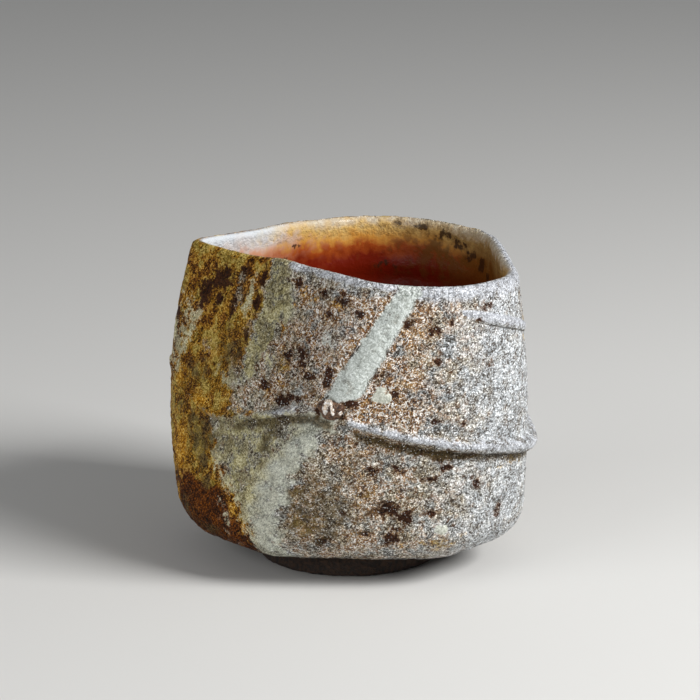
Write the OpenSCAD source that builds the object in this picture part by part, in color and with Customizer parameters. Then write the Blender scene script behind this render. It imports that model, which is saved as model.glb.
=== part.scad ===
// Guinomi: a small hand-formed, wood-fired sake cup with a hollow foot.
// Millimetres. The cup stands on z = 0 with its axis on z, and its front looks along -y.
// Sides are given in degrees round from +x, so the front is 270.

/* [Cup] */
// Distance from the axis to a wall face, before that face's own offsets
cup_r = 30; // [24:0.5:40]
// Mean height of the lip above the table
lip_h = 57.2; // [48:0.1:72]
// How far the lip's highest side stands above its mean height
lip_rise = 1.2; // [0:0.1:3]
// Side where the lip stands highest
high_side = 237; // [0:1:359]
// How far the wall swells out half way up
belly = 1.75; // [0:0.05:4]

/* [Paddled faces] */
// Side that each face looks to, round from the slanted cut at the front left
face_side = [222, 268, 316, 5, 50, 92, 134, 180]; // [0:1:359]
// Offset of each face from cup_r at the foot
face_foot = [-1.5, -5, 0.5, 1, 0, 0.5, 1.5, 1.5]; // [-6:0.5:6]
// Offset of each face from cup_r at the lip
face_lip = [-12, -1, 5, -1, 5, 7, -3, 4]; // [-12:0.5:8]
// Sharpness of the rounded corners between the faces
corner_sharpness = 14; // [8:1:24]

/* [Wall] */
// Thickness of the wall where it stands on the base
wall_t = 4; // [3:0.1:6]
// Thickness of the lip
lip_t = 2.4; // [1.6:0.1:3.6]

/* [Base] */
// Thickness of the floor
floor_t = 5; // [3:0.25:7]
// Radius of the rounded edge below the wall
edge_r = 7; // [3:0.5:10]
// Radius of the rounded corner inside, between floor and wall
cove_r = 9; // [4:0.5:12]
// Height of the wall's seat above that inside corner
seat_rise = 0.5; // [0.2:0.1:6]

/* [Foot ring] */
// Outer radius of the foot ring
foot_r = 17.5; // [13:0.5:19.5]
// Width of the foot ring
foot_w = 5; // [3:0.25:8]
// Height of the foot ring
foot_h = 4.5; // [2.5:0.25:7]
// Bevel round the foot ring's lower corners
foot_bevel = 0.8; // [0.2:0.1:1.2]

/* [Waist ridge] */
// Mean height of the waist ridge
ridge_h = 30; // [27:0.1:30.5]
// Sides where the ridge's rise is given, in order round the cup
ridge_sides = [202, 230, 255, 285, 315, 345, 420, 480, 528, 544]; // [202:1:561]
// Rise of the ridge above its mean height at each of those sides
ridge_rises = [-0.8, 1.9, 4.6, 1.1, -2.3, -5.4, -4.4, 1.5, 5.6, 2]; // [-5.5:0.1:6]
// Side where the ridge is boldest
ridge_side = 350; // [300:1:400]
// How far the ridge stands out at its boldest
ridge_bold = 1.9; // [0.6:0.1:3]
// How far the ridge stands out where it fades
ridge_faint = 0.4; // [0.2:0.05:0.6]
// Length of the ridge's upper slope on its boldest side
ridge_up = 3; // [1.5:0.1:4]
// Length of the ridge's lower slope on its boldest side
ridge_down = 2.2; // [1:0.1:3]

/* [Shoulder ridge] */
// How far round from the ash band's top the shoulder ridge leaves the lip, in degrees
shoulder_from = 11.2; // [8:0.2:22]
// How far round from the ash band's top it fades away
shoulder_to = 53.2; // [40:0.2:64]
// Depth of its upper end below the lip
shoulder_drop = 2.7; // [2.2:0.1:6]
// How far it falls from end to end
shoulder_fall = 8; // [2:0.5:14]
// How far it stands out
shoulder_bold = 0.5; // [0.3:0.05:1]
// Length of each of its slopes
shoulder_slope = 1.5; // [0.6:0.1:1.5]

/* [Glaze and ash] */
// Thickness of the glaze that lines the bowl
glaze_t = 0.4; // [0.2:0.05:0.8]
// Depth of the lining's edge below the lip
glaze_drop = 2.6; // [2:0.1:6]
// Thickness of the pale ash band
band_t = 0.4; // [0.2:0.05:0.8]
// Side that the ash band crosses just above the stone
band_side = 267.5; // [262:0.5:275]
// Degrees that the band leans round for each millimetre that it climbs
band_lean = 1.14; // [0.7:0.01:1.3]
// Width of the band just above the stone
band_w = 6.4; // [3:0.1:8]
// Width of the band at the lip
band_tip_w = 4; // [2:0.1:6]
// Side that the ash spill below the ridge hangs from
spill_side = 233.5; // [228:0.5:240]
// Width of the spill at its widest
spill_w = 12.6; // [6:0.2:16]
// Height of the spill at its widest
spill_h = 17.5; // [14:0.5:20]
// Clear gap between the clay and what lies on it
slip_gap = 0.12; // [0.1:0.01:0.2]

/* [Stones] */
// Side of each feldspar stone, with the big one first
stone_side = [263, 280.5, 302]; // [255:0.5:310]
// Height of each stone
stone_h = [35.3, 38, 12.2]; // [11:0.1:45]
// Length and height of each stone's outline
stone_size = [[4.9, 3.9], [3.6, 4.2], [2.8, 2.6]]; // [1:0.1:5]
// How far each stone stands out
stone_bold = [1.1, 0.4, 0.4]; // [0.3:0.1:1.5]

/* [Hidden] */
$fn = 96;

clay = "#8f887a";
rough_clay = "#7a6a58";
ash = "#b9c0b2";
glaze = "#7a3420";
stone = "#d8d6c8";

// Counts of steps round the cup, along a fillet, up the wall, across a strip and up a skin
side_steps = 72;
fillet_steps = 5;
wall_rows = 10;
strip_rows = 6;
skin_rows = 16;
// Angle between two neighbouring columns of the wall
col = 360 / side_steps;
// Thickness left at the feather edge of a strip, skin or stone
feather = 0.12;

floor_z = foot_h + floor_t;
cove_z = floor_z + cove_r;
seat_z = cove_z + seat_rise;
// Bare clay left between a stone, a strip and a skin that meet
bare = 0.6;
// The ridge leaves room for the big stone, which sits on its line
stone_room = turn(stone_size[0].x / 2 + bare, outer_r(stone_side[0], stone_h[0]));
ridge_from = stone_side[0] + stone_room;
ridge_to = stone_side[0] - stone_room + 360;
// Heights between which the upper band and the spill lie
band_z0 = stone_h[0] + stone_size[0].y / 2 + bare;
band_z1 = lip_h - lip_rise - lip_t / 2;
band_top = band_side + band_lean * (band_z1 - band_z0);
spill_z0 = foot_h + edge_r * 0.6;
spill_z1 = ridge_z(stone_side[0]) - ridge_down - bare;
// Share of the ridge's slopes that is left where it fades
ridge_least = 0.45;
// The spill curves round by this many degrees for each square millimetre above its foot
spill_bend = 0.09;
spill_foot_z = spill_h - 3.5;
spill_foot_w = 3.8;
spill_reach = 9;

function sum(v) = v * [for (x = v) 1];
function at(side, r, z) = [r * cos(side), r * sin(side), z];

// Angle that a length spans at a radius
function turn(length, r) = length / r * 180 / PI;

// Height of the lip on one side
function lip_z(side) = lip_h + lip_rise * cos(side - high_side);

// Side and rise of one knot of the waist ridge, counted on past the last one round to the first
function knot(i) =
    let (n = len(ridge_sides), j = (i + n) % n)
    [ridge_sides[j] + 360 * floor(i / n), ridge_rises[j]];
function knot_slope(i) = (knot(i + 1).y - knot(i - 1).y) / (knot(i + 1).x - knot(i - 1).x);

// Height of the waist ridge on one side, eased from knot to knot
function ridge_z(side) =
    let (first = ridge_sides[0], s = side - 360 * floor((side - first) / 360))
    let (i = max([for (j = [0:len(ridge_sides) - 1]) if (ridge_sides[j] <= s) j]))
    let (a = knot(i), b = knot(i + 1), gap = b.x - a.x, t = (s - a.x) / gap)
    let (leave = a.y * (1 + 2 * t) + knot_slope(i) * gap * t)
    let (reach = b.y * (3 - 2 * t) + knot_slope(i + 1) * gap * (t - 1))
    ridge_h + leave * pow(1 - t, 2) + reach * t * t;

// How near a side is to the ridge's boldest side, from 0 to 1
function ridge_swell(side) = pow((1 + cos(side - ridge_side)) / 2, 2);

// Distance of one paddled face from the axis, where k is 0 at the foot and 1 at the lip
function face_d(i, k) = cup_r + face_foot[i] + (face_lip[i] - face_foot[i]) * k;

// Radius of the clay's outside above its rounded lower edge
function skin_r(side, z) =
    let (k = (z - foot_h) / (lip_h - foot_h))
    let (pull = [for (i = [0:len(face_side) - 1]) max(0, cos(side - face_side[i]) / face_d(i, k))])
    pow(sum([for (p = pull) pow(p, corner_sharpness)]), -1 / corner_sharpness) + 4 * belly * k * (1 - k);

// Radius of the clay's outside, with its rounded lower edge
function outer_r(side, z) =
    let (q = max(0, min(1, 1 - (z - foot_h) / edge_r)))
    skin_r(side, z) - edge_r * (1 - sqrt(1 - q * q));

// Wall thickness, which thins from the seat to the lip
function thickness(z) = lip_t + (wall_t - lip_t) * max(0, min(1, (lip_h - z) / (lip_h - seat_z)));

// Radius of the clay's inside above the cove, drawn in by a gap
function inner_r(side, z, gap = 0) = skin_r(side, z) - thickness(z) - gap;

// Radius of the wall's flat panel between two columns, moved out by a gap
function panel_r(side, z, gap) =
    let (a = col * floor(side / col), b = a + col)
    let (ra = outer_r(a, z), rb = outer_r(b, z))
    ra * rb * sin(col) / (ra * sin(side - a) + rb * sin(b - side)) + gap;

// All the columns of the cup at one row, where r and z are functions of the side
function ring(r, z) = [for (i = [0:side_steps - 1]) at(i * col, r(i * col), z(i * col))];

// Rows of the inside's rounded corner, from the floor up, moved into the bowl by a gap
function cove_rings(gap) = [
    for (j = [0:fillet_steps])
        let (a = 90 * j / fillet_steps, z = floor_z + gap + cove_r * (1 - cos(a)))
        ring(function (s) inner_r(s, z, gap) - cove_r * (1 - sin(a)), function (s) z)
];

// Rows of the inside from just above the cove to a depth below the lip
function bowl_rings(z0, drop, gap) = [
    for (j = [0:wall_rows])
        let (z = function (s) z0 + (lip_z(s) - drop - z0) * j / wall_rows)
        ring(function (s) inner_r(s, z(s), gap), z)
];

function flip(list) = [for (i = [len(list) - 1:-1:0]) list[i]];

// Closed body through a row of loops, each joined to the next, with its ends capped or joined together.
// Panels are split the same way on a rising and a falling row, so that a lining follows the wall behind it.
module loop_body(loops, capped = true) {
    n = len(loops[0]);
    m = len(loops);
    sides = [
        for (j = [0:m - (capped ? 2 : 1)], i = [0:n - 1])
            let (next = (j + 1) % m, k = (i + 1) % n)
            let (a = j * n + i, b = j * n + k, c = next * n + i, d = next * n + k)
            each loops[j][i].z < loops[next][i].z ? [[a, c, b], [b, c, d]] : [[a, c, d], [a, d, b]]
    ];
    caps = [[for (i = [0:n - 1]) i], [for (i = [n - 1:-1:0]) (m - 1) * n + i]];
    polyhedron([for (loop = loops) each loop], concat(sides, capped ? caps : []));
}

// Thickness of a skin from its middle, v = 0, to its feather edges, v = -1 and 1
function swell(bold, v) = feather + (bold - feather) * cos(90 * v);
// Thickness of a ridge, which flares below a hollow upper slope
function flare(bold, v) = v > 0 ? feather + (bold - feather) * pow(1 - v, 1.5) : swell(bold, v);
function strip_v() = [for (j = [-strip_rows:2:strip_rows]) j / strip_rows];

// Columns of the cup from one side round to another, with both ends
function columns(from, to) =
    let (between = [for (i = [floor(from / col) + 1:ceil(to / col) - 1]) i * col])
    concat([from], between, [to]);

// Raised strip along the wall: z gives its line, bold its height, up and down the length of its slopes
module strip(from, to, z, bold, up, down) {
    loops = [
        for (s = columns(from, to))
            let (heights = [for (v = strip_v()) z(s) + v * (v > 0 ? up(s) : down(s))])
            let (back = [for (h = heights) at(s, panel_r(s, h, slip_gap), h)])
            let (lift = [for (v = strip_v()) slip_gap + flare(bold(s), v)])
            let (front = [for (i = [0:strip_rows]) at(s, panel_r(s, heights[i], lift[i]), heights[i])])
            concat(back, flip(front))
    ];
    loop_body(loops);
}

// Thin skin up the wall between two heights: side gives its middle and w its width
module skin(z0, z1, side, w) {
    loops = [
        for (j = [0:skin_rows])
            let (z = z0 + (z1 - z0) * j / skin_rows)
            let (half = turn(w(z) / 2, outer_r(side(z), z)))
            let (sides = [for (v = strip_v()) side(z) + v * half])
            let (lift = [for (v = strip_v()) slip_gap + swell(band_t, v)])
            let (front = [for (i = [0:strip_rows]) at(sides[i], panel_r(sides[i], z, lift[i]), z)])
            let (back = [for (s = sides) at(s, panel_r(s, z, slip_gap), z)])
            concat(front, flip(back))
    ];
    loop_body(loops);
}

// Low dome on the wall, from the middle of its back, out to its rim and over its front
module dome(side, h, size, bold) {
    spokes = 16;
    spread = [0.2, 0.6, 0.9, 1];
    half_turn = turn(size.x / 2, outer_r(side, h));
    function shell(f, lift) = [
        for (i = [0:spokes - 1])
            let (a = 360 * i / spokes, s = side + f * half_turn * cos(a))
            let (z = h + f * size.y / 2 * sin(a))
            at(s, panel_r(s, z, slip_gap + lift), z)
    ];
    back = [for (f = spread) shell(f, 0)];
    front = [for (f = flip(spread)) shell(f, feather + (bold - feather) * sqrt(1 - f * f))];
    loop_body(concat(back, front));
}

// Dish that the floor and the lower wall were pinched from, with a flat seat round its top
module base() {
    under = [
        for (j = [0:fillet_steps])
            let (a = 90 * j / fillet_steps, z = foot_h + edge_r * (1 - cos(a)))
            ring(function (s) skin_r(s, z) - edge_r * (1 - sin(a)), function (s) z)
    ];
    seat = [
        ring(function (s) skin_r(s, seat_z), function (s) seat_z),
        ring(function (s) inner_r(s, seat_z), function (s) seat_z)
    ];
    color(clay) loop_body(concat(under, seat, flip(cove_rings(0))));
}

// Upper wall, from the base's seat to the rounded lip
module wall() {
    outside = [
        for (j = [0:wall_rows])
            let (z = function (s) seat_z + (lip_z(s) - lip_t / 2 - seat_z) * j / wall_rows)
            ring(function (s) skin_r(s, z(s)), z)
    ];
    lip = [
        for (a = [30:30:180])
            let (mid = function (s) skin_r(s, lip_z(s) - lip_t / 2) - lip_t / 2)
            ring(function (s) mid(s) + lip_t / 2 * cos(a), function (s) lip_z(s) + lip_t / 2 * (sin(a) - 1))
    ];
    inside = bowl_rings(seat_z, glaze_drop, 0);
    color(clay) loop_body(concat(outside, lip, flip(inside)), capped = false);
}

// Turned foot ring under the base
module foot_ring() {
    inside = foot_r - foot_w;
    color(rough_clay)
        rotate_extrude()
            polygon([
                [inside, foot_h],
                [inside, foot_bevel],
                [inside + foot_bevel, 0],
                [foot_r - foot_bevel, 0],
                [foot_r, foot_bevel],
                [foot_r, foot_h]
            ]);
}

// Coil of clay luted round the waist, bold on the right and faint on the left
module waist_ridge() {
    bold = function (s) ridge_faint + (ridge_bold - ridge_faint) * ridge_swell(s);
    share = function (s) ridge_least + (1 - ridge_least) * ridge_swell(s);
    up = function (s) ridge_up * share(s);
    down = function (s) ridge_down * share(s);
    color(clay) strip(ridge_from, ridge_to, function (s) ridge_z(s), bold, up, down);
}

// Low ridge that runs down the right of the front from the lip
module shoulder_ridge() {
    from = band_top + shoulder_from;
    to = band_top + shoulder_to;
    line = function (s) lip_h - shoulder_drop - shoulder_fall * (s - from) / (to - from);
    bold = function (s) shoulder_bold;
    slope = function (s) shoulder_slope;
    color(clay) strip(from, to, line, bold, slope, slope);
}

// Glaze that lines the floor and the bowl
module inner_glaze() {
    far = slip_gap + glaze_t;
    clay_side = concat(cove_rings(slip_gap), bowl_rings(seat_z, glaze_drop, slip_gap));
    bowl_side = concat(cove_rings(far), bowl_rings(seat_z + glaze_t, glaze_drop, far));
    color(glaze) loop_body(concat(clay_side, flip(bowl_side)));
}

// Pale natural ash: a band that climbs to the lip, and a spill below the ridge
module ash_band() {
    band_at = function (z) band_side + band_lean * (z - band_z0);
    band_width = function (z) band_w + (band_tip_w - band_w) * (z - band_z0) / (band_z1 - band_z0);
    spill_at = function (z) spill_side + spill_bend * pow(z - spill_foot_z, 2);
    spill_swell = function (z) exp(-pow((z - spill_h) / spill_reach, 2));
    spill_width = function (z) spill_foot_w + (spill_w - spill_foot_w) * spill_swell(z);
    color(ash) {
        skin(band_z0, band_z1, band_at, band_width);
        skin(spill_z0, spill_z1, spill_at, spill_width);
    }
}

// Lumps of feldspar that came to the surface in the firing
module feldspar_stones() {
    color(stone)
        for (i = [0:len(stone_side) - 1])
            dome(stone_side[i], stone_h[i], stone_size[i], stone_bold[i]);
}

base();
wall();
foot_ring();
waist_ridge();
shoulder_ridge();
inner_glaze();
ash_band();
feldspar_stones();
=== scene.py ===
"""Looks of a small hand-formed sake cup from a wood kiln: ash crust outside, red glaze inside.

The cup stands at the origin with +Z up and its front along -Y. Lengths are in millimetres until they
reach a mesh. A side is an angle round from +X in degrees, so the front is 270.
"""

import math
from types import SimpleNamespace

import bmesh
import bpy
import numpy as np
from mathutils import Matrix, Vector


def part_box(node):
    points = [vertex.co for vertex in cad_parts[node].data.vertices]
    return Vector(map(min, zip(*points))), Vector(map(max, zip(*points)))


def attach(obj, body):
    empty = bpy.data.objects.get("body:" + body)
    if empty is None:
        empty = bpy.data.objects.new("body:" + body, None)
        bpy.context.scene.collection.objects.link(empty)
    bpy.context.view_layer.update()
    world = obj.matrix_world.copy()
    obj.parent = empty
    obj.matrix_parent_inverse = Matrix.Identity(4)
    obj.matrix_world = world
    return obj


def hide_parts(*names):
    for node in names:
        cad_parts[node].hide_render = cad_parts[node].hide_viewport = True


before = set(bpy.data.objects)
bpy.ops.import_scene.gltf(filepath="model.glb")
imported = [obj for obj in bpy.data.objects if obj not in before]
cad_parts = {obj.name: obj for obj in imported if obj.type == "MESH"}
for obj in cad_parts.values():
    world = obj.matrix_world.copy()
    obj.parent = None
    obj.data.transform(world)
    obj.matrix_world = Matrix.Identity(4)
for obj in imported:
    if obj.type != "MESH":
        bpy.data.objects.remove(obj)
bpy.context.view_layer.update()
MM = 0.001

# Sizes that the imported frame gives
FOOT_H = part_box("foot_ring")[1].z / MM
FOOT_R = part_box("foot_ring")[1].x / MM
SEAT_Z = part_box("wall")[0].z / MM

# Wall, lip, floor and foot. Each paddled face has its side, and how far it stands out at foot and lip
CUP_R = 30.0
LIP_H, LIP_RISE, HIGH_SIDE = 57.2, 1.2, 237.0
LIP_WAVES = ((0.22, 3, 40), (0.14, 7, 0))
BELLY, CORNER = 1.75, 14.0
FACE_SIDE = (222, 268, 316, 5, 50, 92, 134, 180)
FACE_FOOT = (-1.5, -5.0, 0.5, 1.0, 0.0, 0.5, 1.5, 1.5)
FACE_LIP = (-12.0, -1.0, 5.0, -1.0, 5.0, 7.0, -3.0, 4.0)
WALL_T, LIP_T, FLOOR_T = 4.0, 2.4, 5.0
EDGE_R, COVE_R, FOOT_W, FOOT_BEVEL = 7.0, 9.0, 5.0, 1.1
FLOOR_Z = FOOT_H + FLOOR_T

# Ridges. The waist ridge climbs and falls through heights at a few sides, and it keeps a gap of a few
# degrees on both sides of the big stone's middle
RIDGE_SIDES = (202, 230, 255, 285, 315, 345, 420, 480, 528, 544)
RIDGE_HEIGHTS = (29.2, 31.9, 34.6, 31.1, 27.7, 24.6, 25.6, 31.5, 35.6, 32.0)
RIDGE_SIDE, RIDGE_BOLD, RIDGE_FAINT, RIDGE_UP, RIDGE_DOWN = 350.0, 1.9, 0.4, 3.0, 2.2
RIDGE_GAP, STONE_RIDGE_BOLD = 4, 0.55
SHOULDER_FROM, SHOULDER_TO, SHOULDER_DROP, SHOULDER_FALL = 298.0, 340.0, 2.7, 8.0
SHOULDER_BOLD, SHOULDER_UP, SHOULDER_DOWN = 0.75, 2.25, 1.65

# Glaze of the bowl: its thickness, its edge's drop below the lip and creep back up, how far that edge is
# sunk, how far its back is off the floor, its rings, and the depth at which its colours end
GLAZE_T, GLAZE_DROP, GLAZE_CREEP, GLAZE_EDGE, GLAZE_LIFT = 0.4, 2.6, 0.6, 0.08, 0.2
RING_TALL, RING_PITCH = 0.14, 5.2
BOWL_DEEP = 30

# Pale ash: a band that leans up to just short of the lip, and its spill below the ridge, which bends
BAND_T = 0.4
BAND_SIDE, BAND_LEAN, BAND_W, BAND_TIP_W = 267.5, 1.14, 6.4, 4.0
BAND_FOOT, BAND_LOW, BAND_HIGH, BAND_TUCK, BAND_SHORT = 36.8, 37.85, 54.8, 1.5, 1.0
SPILL_SIDE, SPILL_W, SPILL_H, SPILL_FOOT_W = 233.5, 12.6, 17.5, 3.8
SPILL_LOW, SPILL_HIGH, SPILL_BEND, SPILL_DIP, SPILL_TALL = 7.0, 31.0, 0.09, 3.5, 9

# Each stone of feldspar has its side, level, width, height and boldness. The seed shapes their outlines
STONES = ((263.0, 35.3, 4.9, 3.9, 1.1), (280.5, 38.0, 3.6, 4.2, 0.25), (302.0, 12.2, 2.8, 2.6, 0.25))
STONE_SEED = 11

# How finely the clay is meshed, and how far pieces that lie on the wall or the base are sunk into it
COLUMNS, LINING_COLUMNS, FOOT_COLUMNS = 540, 360, 220
RIDGE_COLUMNS, SHOULDER_COLUMNS, STONE_SPOKES = 620, 110, 40
ROW, SKIN_ROW = 0.38, 0.35
RIDGE_ROWS, SHOULDER_ROWS, SKIN_ROWS, BACK_ROWS = 26, 18, 26, 4
SUNK, GLAZE_SUNK, FOOT_SUNK = 0.3, 0.2, 0.3

# How far the turned foot sways out of round, how far its sole is kept off the ground until it is
# roughened, and how far its outer and inner faces lean towards the axis at the top
FOOT_SWAY, FOOT_SOLE = 0.15, 0.05
FOOT_LEAN_OUTER, FOOT_LEAN_INNER = 0.3, 0.4

# How much smoother thick pale ash is than the crust, how near points are welded, and the sharpest soft edge
PALE_SMOOTH = 0.6
WELD = 0.002
SOFT_DEGREES = 70

# One degree round the cup's wall
MEAN_R = 28.5
DEGREE = math.radians(1) * MEAN_R


def paint(red, green, blue):
    """A colour written as it looks on a screen, 0 to 255, as linear light."""
    shares = [c / 255 for c in (red, green, blue)]
    return tuple(s / 12.92 if s <= 0.04045 else ((s + 0.055) / 1.055) ** 2.4 for s in shares) + (1.0,)


class Bench:
    """Adds nodes to one tree, each joined to what feeds it."""

    def __init__(self, tree):
        self.tree = tree

    def feed(self, socket, value):
        """Joins an input to another node's output, or sets its value."""
        if isinstance(value, bpy.types.NodeSocket):
            self.tree.links.new(value, socket)
        else:
            socket.default_value = value

    def add(self, kind, inputs=None, **settings):
        node = self.tree.nodes.new(kind)
        for name, value in settings.items():
            setattr(node, name, value)
        for key, value in (inputs or {}).items():
            self.feed(node.inputs[key], value)
        return node

    def math(self, operation, *values, clamp=False):
        node = self.add("ShaderNodeMath", dict(enumerate(values)), operation=operation, use_clamp=clamp)
        return node.outputs[0]

    def times(self, first, *others):
        for other in others:
            first = self.math("MULTIPLY", first, other)
        return first

    def most(self, first, *others):
        for other in others:
            first = self.math("MAXIMUM", first, other)
        return first

    def rest(self, share):
        """What a share leaves of 1."""
        return self.math("SUBTRACT", 1.0, share)

    def weighed(self, first, *others):
        """Sum of values, each given with its weight."""
        total = self.math("MULTIPLY", *first)
        for value, weight in others:
            total = self.math("MULTIPLY_ADD", value, weight, total)
        return total

    def vector(self, operation, first, second=None, scale=None):
        inputs = {0: first}
        if second is not None:
            inputs[1] = second
        if scale is not None:
            inputs["Scale"] = scale
        return self.add("ShaderNodeVectorMath", inputs, operation=operation).outputs[0]

    def dot(self, first, second):
        node = self.add("ShaderNodeVectorMath", {0: first, 1: second}, operation="DOT_PRODUCT")
        return node.outputs["Value"]

    def xyz(self, x, y, z):
        return self.add("ShaderNodeCombineXYZ", {0: x, 1: y, 2: z}).outputs[0]

    def ease(self, value, low, high, to_low=0.0, to_high=1.0):
        """A smooth step from to_low at low to to_high at high."""
        inputs = {0: value, 1: low, 2: high, 3: to_low, 4: to_high}
        return self.add("ShaderNodeMapRange", inputs, interpolation_type="SMOOTHSTEP").outputs[0]

    def noise(self, place, size, detail, roughness):
        """Cloudy noise, 0 to 1, whose features are about one size across."""
        inputs = {"Vector": place, "Scale": 1 / size, "Detail": detail, "Roughness": roughness}
        return self.add("ShaderNodeTexNoise", inputs, noise_dimensions="3D").outputs[0]

    def patches(self, place, size, detail, roughness, spread):
        """Cloudy noise with more contrast: 0 to 1 within a spread on each side of its middle."""
        return self.ease(self.noise(place, size, detail, roughness), 0.5 - spread, 0.5 + spread)

    def cells(self, place, size):
        """Grains packed side by side: distance from the grain's middle, and its own random number."""
        node = self.add("ShaderNodeTexVoronoi", {"Vector": place, "Scale": 1 / size}, feature="F1")
        random = self.add("ShaderNodeSeparateColor", {0: node.outputs["Color"]}).outputs[0]
        return node.outputs["Distance"], random

    def mix(self, share, first, second):
        return self.add("ShaderNodeMix", {0: share, 6: first, 7: second}, data_type="RGBA").outputs[2]

    def tones(self, share, dark, light):
        """From a dark colour to a light one, both written as they look on a screen."""
        return self.mix(share, paint(*dark), paint(*light))

    def blend_value(self, share, first, second):
        return self.add("ShaderNodeMix", {0: share, 2: first, 3: second}, data_type="FLOAT").outputs[0]

    def ramp(self, value, stops):
        node = self.add("ShaderNodeValToRGB", {0: value})
        elements = node.color_ramp.elements
        while len(elements) < len(stops):
            elements.new(0.5)
        for element, (place, colour) in zip(elements, stops):
            element.position = place
            element.color = paint(*colour)
        return node.outputs[0]

    def mark(self, name):
        """One of the firing marks that the mesh carries."""
        return self.add("ShaderNodeAttribute", attribute_name=name).outputs["Fac"]


def named_tree(kind, name, inputs, outputs):
    """A node group with named sockets, and its bench, input sockets and output sockets."""
    tree = bpy.data.node_groups.new(name, kind)
    for label, socket, value in inputs:
        made = tree.interface.new_socket(label, in_out="INPUT", socket_type=socket)
        if value is not None:
            made.default_value = value
    for label, socket in outputs:
        tree.interface.new_socket(label, in_out="OUTPUT", socket_type=socket)
    bench = Bench(tree)
    return tree, bench, bench.add("NodeGroupInput").outputs, bench.add("NodeGroupOutput").inputs


def set_input(modifier, label, value):
    """Sets a modifier's input, found by its label, through the socket's identifier."""
    for item in modifier.node_group.interface.items_tree:
        if item.name == label and item.in_out == "INPUT":
            modifier[item.identifier] = value


GEOMETRY, NUMBER, SUBSTANCE = "NodeSocketGeometry", "NodeSocketFloat", "NodeSocketMaterial"
COLOUR, VECTOR = "NodeSocketColor", "NodeSocketVector"


def read(bench, name):
    """A value that each point of the sheet carries."""
    node = bench.add("GeometryNodeInputNamedAttribute", {"Name": name}, data_type="FLOAT")
    return node.outputs[0]


def finish_tree(b, given, made, moved):
    """Ends a geometry tree with one whole mesh in its material."""
    whole = b.add("GeometryNodeRealizeInstances", {"Geometry": moved.outputs[0]})
    coated = b.add("GeometryNodeSetMaterial", {"Geometry": whole.outputs[0], "Material": given["Material"]})
    b.feed(made["Geometry"], coated.outputs[0])


def paddled_face(b, given, turn, k):
    """Radius of the wall's face, from the face planes that are blended at their corners."""
    total = None
    for side, foot, lip in zip(FACE_SIDE, FACE_FOOT, FACE_LIP):
        reach = b.math("ADD", given["Cup radius"], b.math("MULTIPLY_ADD", k, lip - foot, foot))
        pull = b.math("COSINE", b.math("SUBTRACT", turn, math.radians(side)))
        share = b.math("DIVIDE", b.times(pull, given["Cup radius"]), reach)
        lobe = b.math("POWER", b.most(share, 0.0), given["Corner sharpness"])
        total = lobe if total is None else b.math("ADD", total, lobe)
    face = b.math("POWER", total, b.math("DIVIDE", -1.0, given["Corner sharpness"]))
    swell = b.times(k, b.rest(k), given["Belly"], 4.0)
    return b.math("MULTIPLY_ADD", face, given["Cup radius"], swell)


def crust_rise(b, given, place):
    """How far lumps, grains, beads and pits of the crust stand out of the clay at a place."""
    def field(size, detail):
        noise = {"Vector": place, "Scale": b.math("DIVIDE", 1.0, given[size]), "Detail": detail}
        return b.math("MULTIPLY_ADD", b.add("ShaderNodeTexNoise", noise).outputs[0], 2.0, -1.0)

    beads = b.add(
        "ShaderNodeTexVoronoi",
        {"Vector": place, "Scale": b.math("DIVIDE", 1.0, given["Bead size"]), "Smoothness": 0.4},
        feature="SMOOTH_F1",
    )
    bead = b.math("SUBTRACT", 0.45, beads.outputs["Distance"])
    lump = b.times(field("Lump size", 2.0), given["Lump height"])
    grain = b.times(field("Grain size", 3.0), given["Grain height"])
    grain = b.math("MULTIPLY_ADD", bead, given["Bead height"], grain)
    pit = b.times(read(b, "iron"), given["Pit depth"], -1.0, b.ease(field("Bead size", 2.0), -0.3, 0.4))
    return b.weighed((lump, read(b, "lump")), (b.math("ADD", grain, pit), read(b, "grain")))


def paddled_clay_tree():
    """Puts a sheet of clay round the cup. Each point carries its side, its height, how far it is set in
    from the wall's face, how far in towards the axis it is gathered, and how rough its crust is."""
    inputs = [
        ("Geometry", GEOMETRY, None),
        ("Cup radius", NUMBER, CUP_R),
        ("Foot height", NUMBER, FOOT_H),
        ("Lip height", NUMBER, LIP_H),
        ("Belly", NUMBER, BELLY),
        ("Corner sharpness", NUMBER, CORNER),
        ("Lump size", NUMBER, 7.0),
        ("Lump height", NUMBER, 0.32),
        ("Grain size", NUMBER, 1.1),
        ("Grain height", NUMBER, 0.2),
        ("Bead size", NUMBER, 0.95),
        ("Bead height", NUMBER, 0.22),
        ("Pit depth", NUMBER, 0.35),
        ("Material", SUBSTANCE, None),
    ]
    tree, b, given, made = named_tree("GeometryNodeTree", "paddled_clay", inputs, [("Geometry", GEOMETRY)])
    height = read(b, "height")
    turn = b.math("RADIANS", read(b, "side"))
    climb = b.math("SUBTRACT", height, given["Foot height"])
    k = b.math("DIVIDE", climb, b.math("SUBTRACT", given["Lip height"], given["Foot height"]))
    radius = b.math("SUBTRACT", paddled_face(b, given, turn, k), read(b, "inset"))
    radius = b.times(radius, read(b, "spread"))
    cosine, sine = b.math("COSINE", turn), b.math("SINE", turn)
    place = b.xyz(b.times(radius, cosine), b.times(radius, sine), height)

    rise = crust_rise(b, given, place)
    out = b.times(read(b, "out"), rise)
    lift = b.xyz(b.times(out, cosine), b.times(out, sine), b.times(read(b, "up"), rise))
    spot = b.vector("SCALE", b.vector("ADD", place, lift), scale=MM)
    moved = b.add("GeometryNodeSetPosition", {"Geometry": given["Geometry"], "Position": spot})
    finish_tree(b, given, made, moved)
    return tree


PADDLED_CLAY = paddled_clay_tree()


def step(value, low, high):
    """A smooth step from 0 at low to 1 at high."""
    share = np.clip((value - low) / (high - low), 0, 1)
    return share * share * (3 - 2 * share)


def hump(offset, half):
    """1 where the offset is nought, falling away on both sides."""
    return np.exp(-((offset / half) ** 2))


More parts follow.
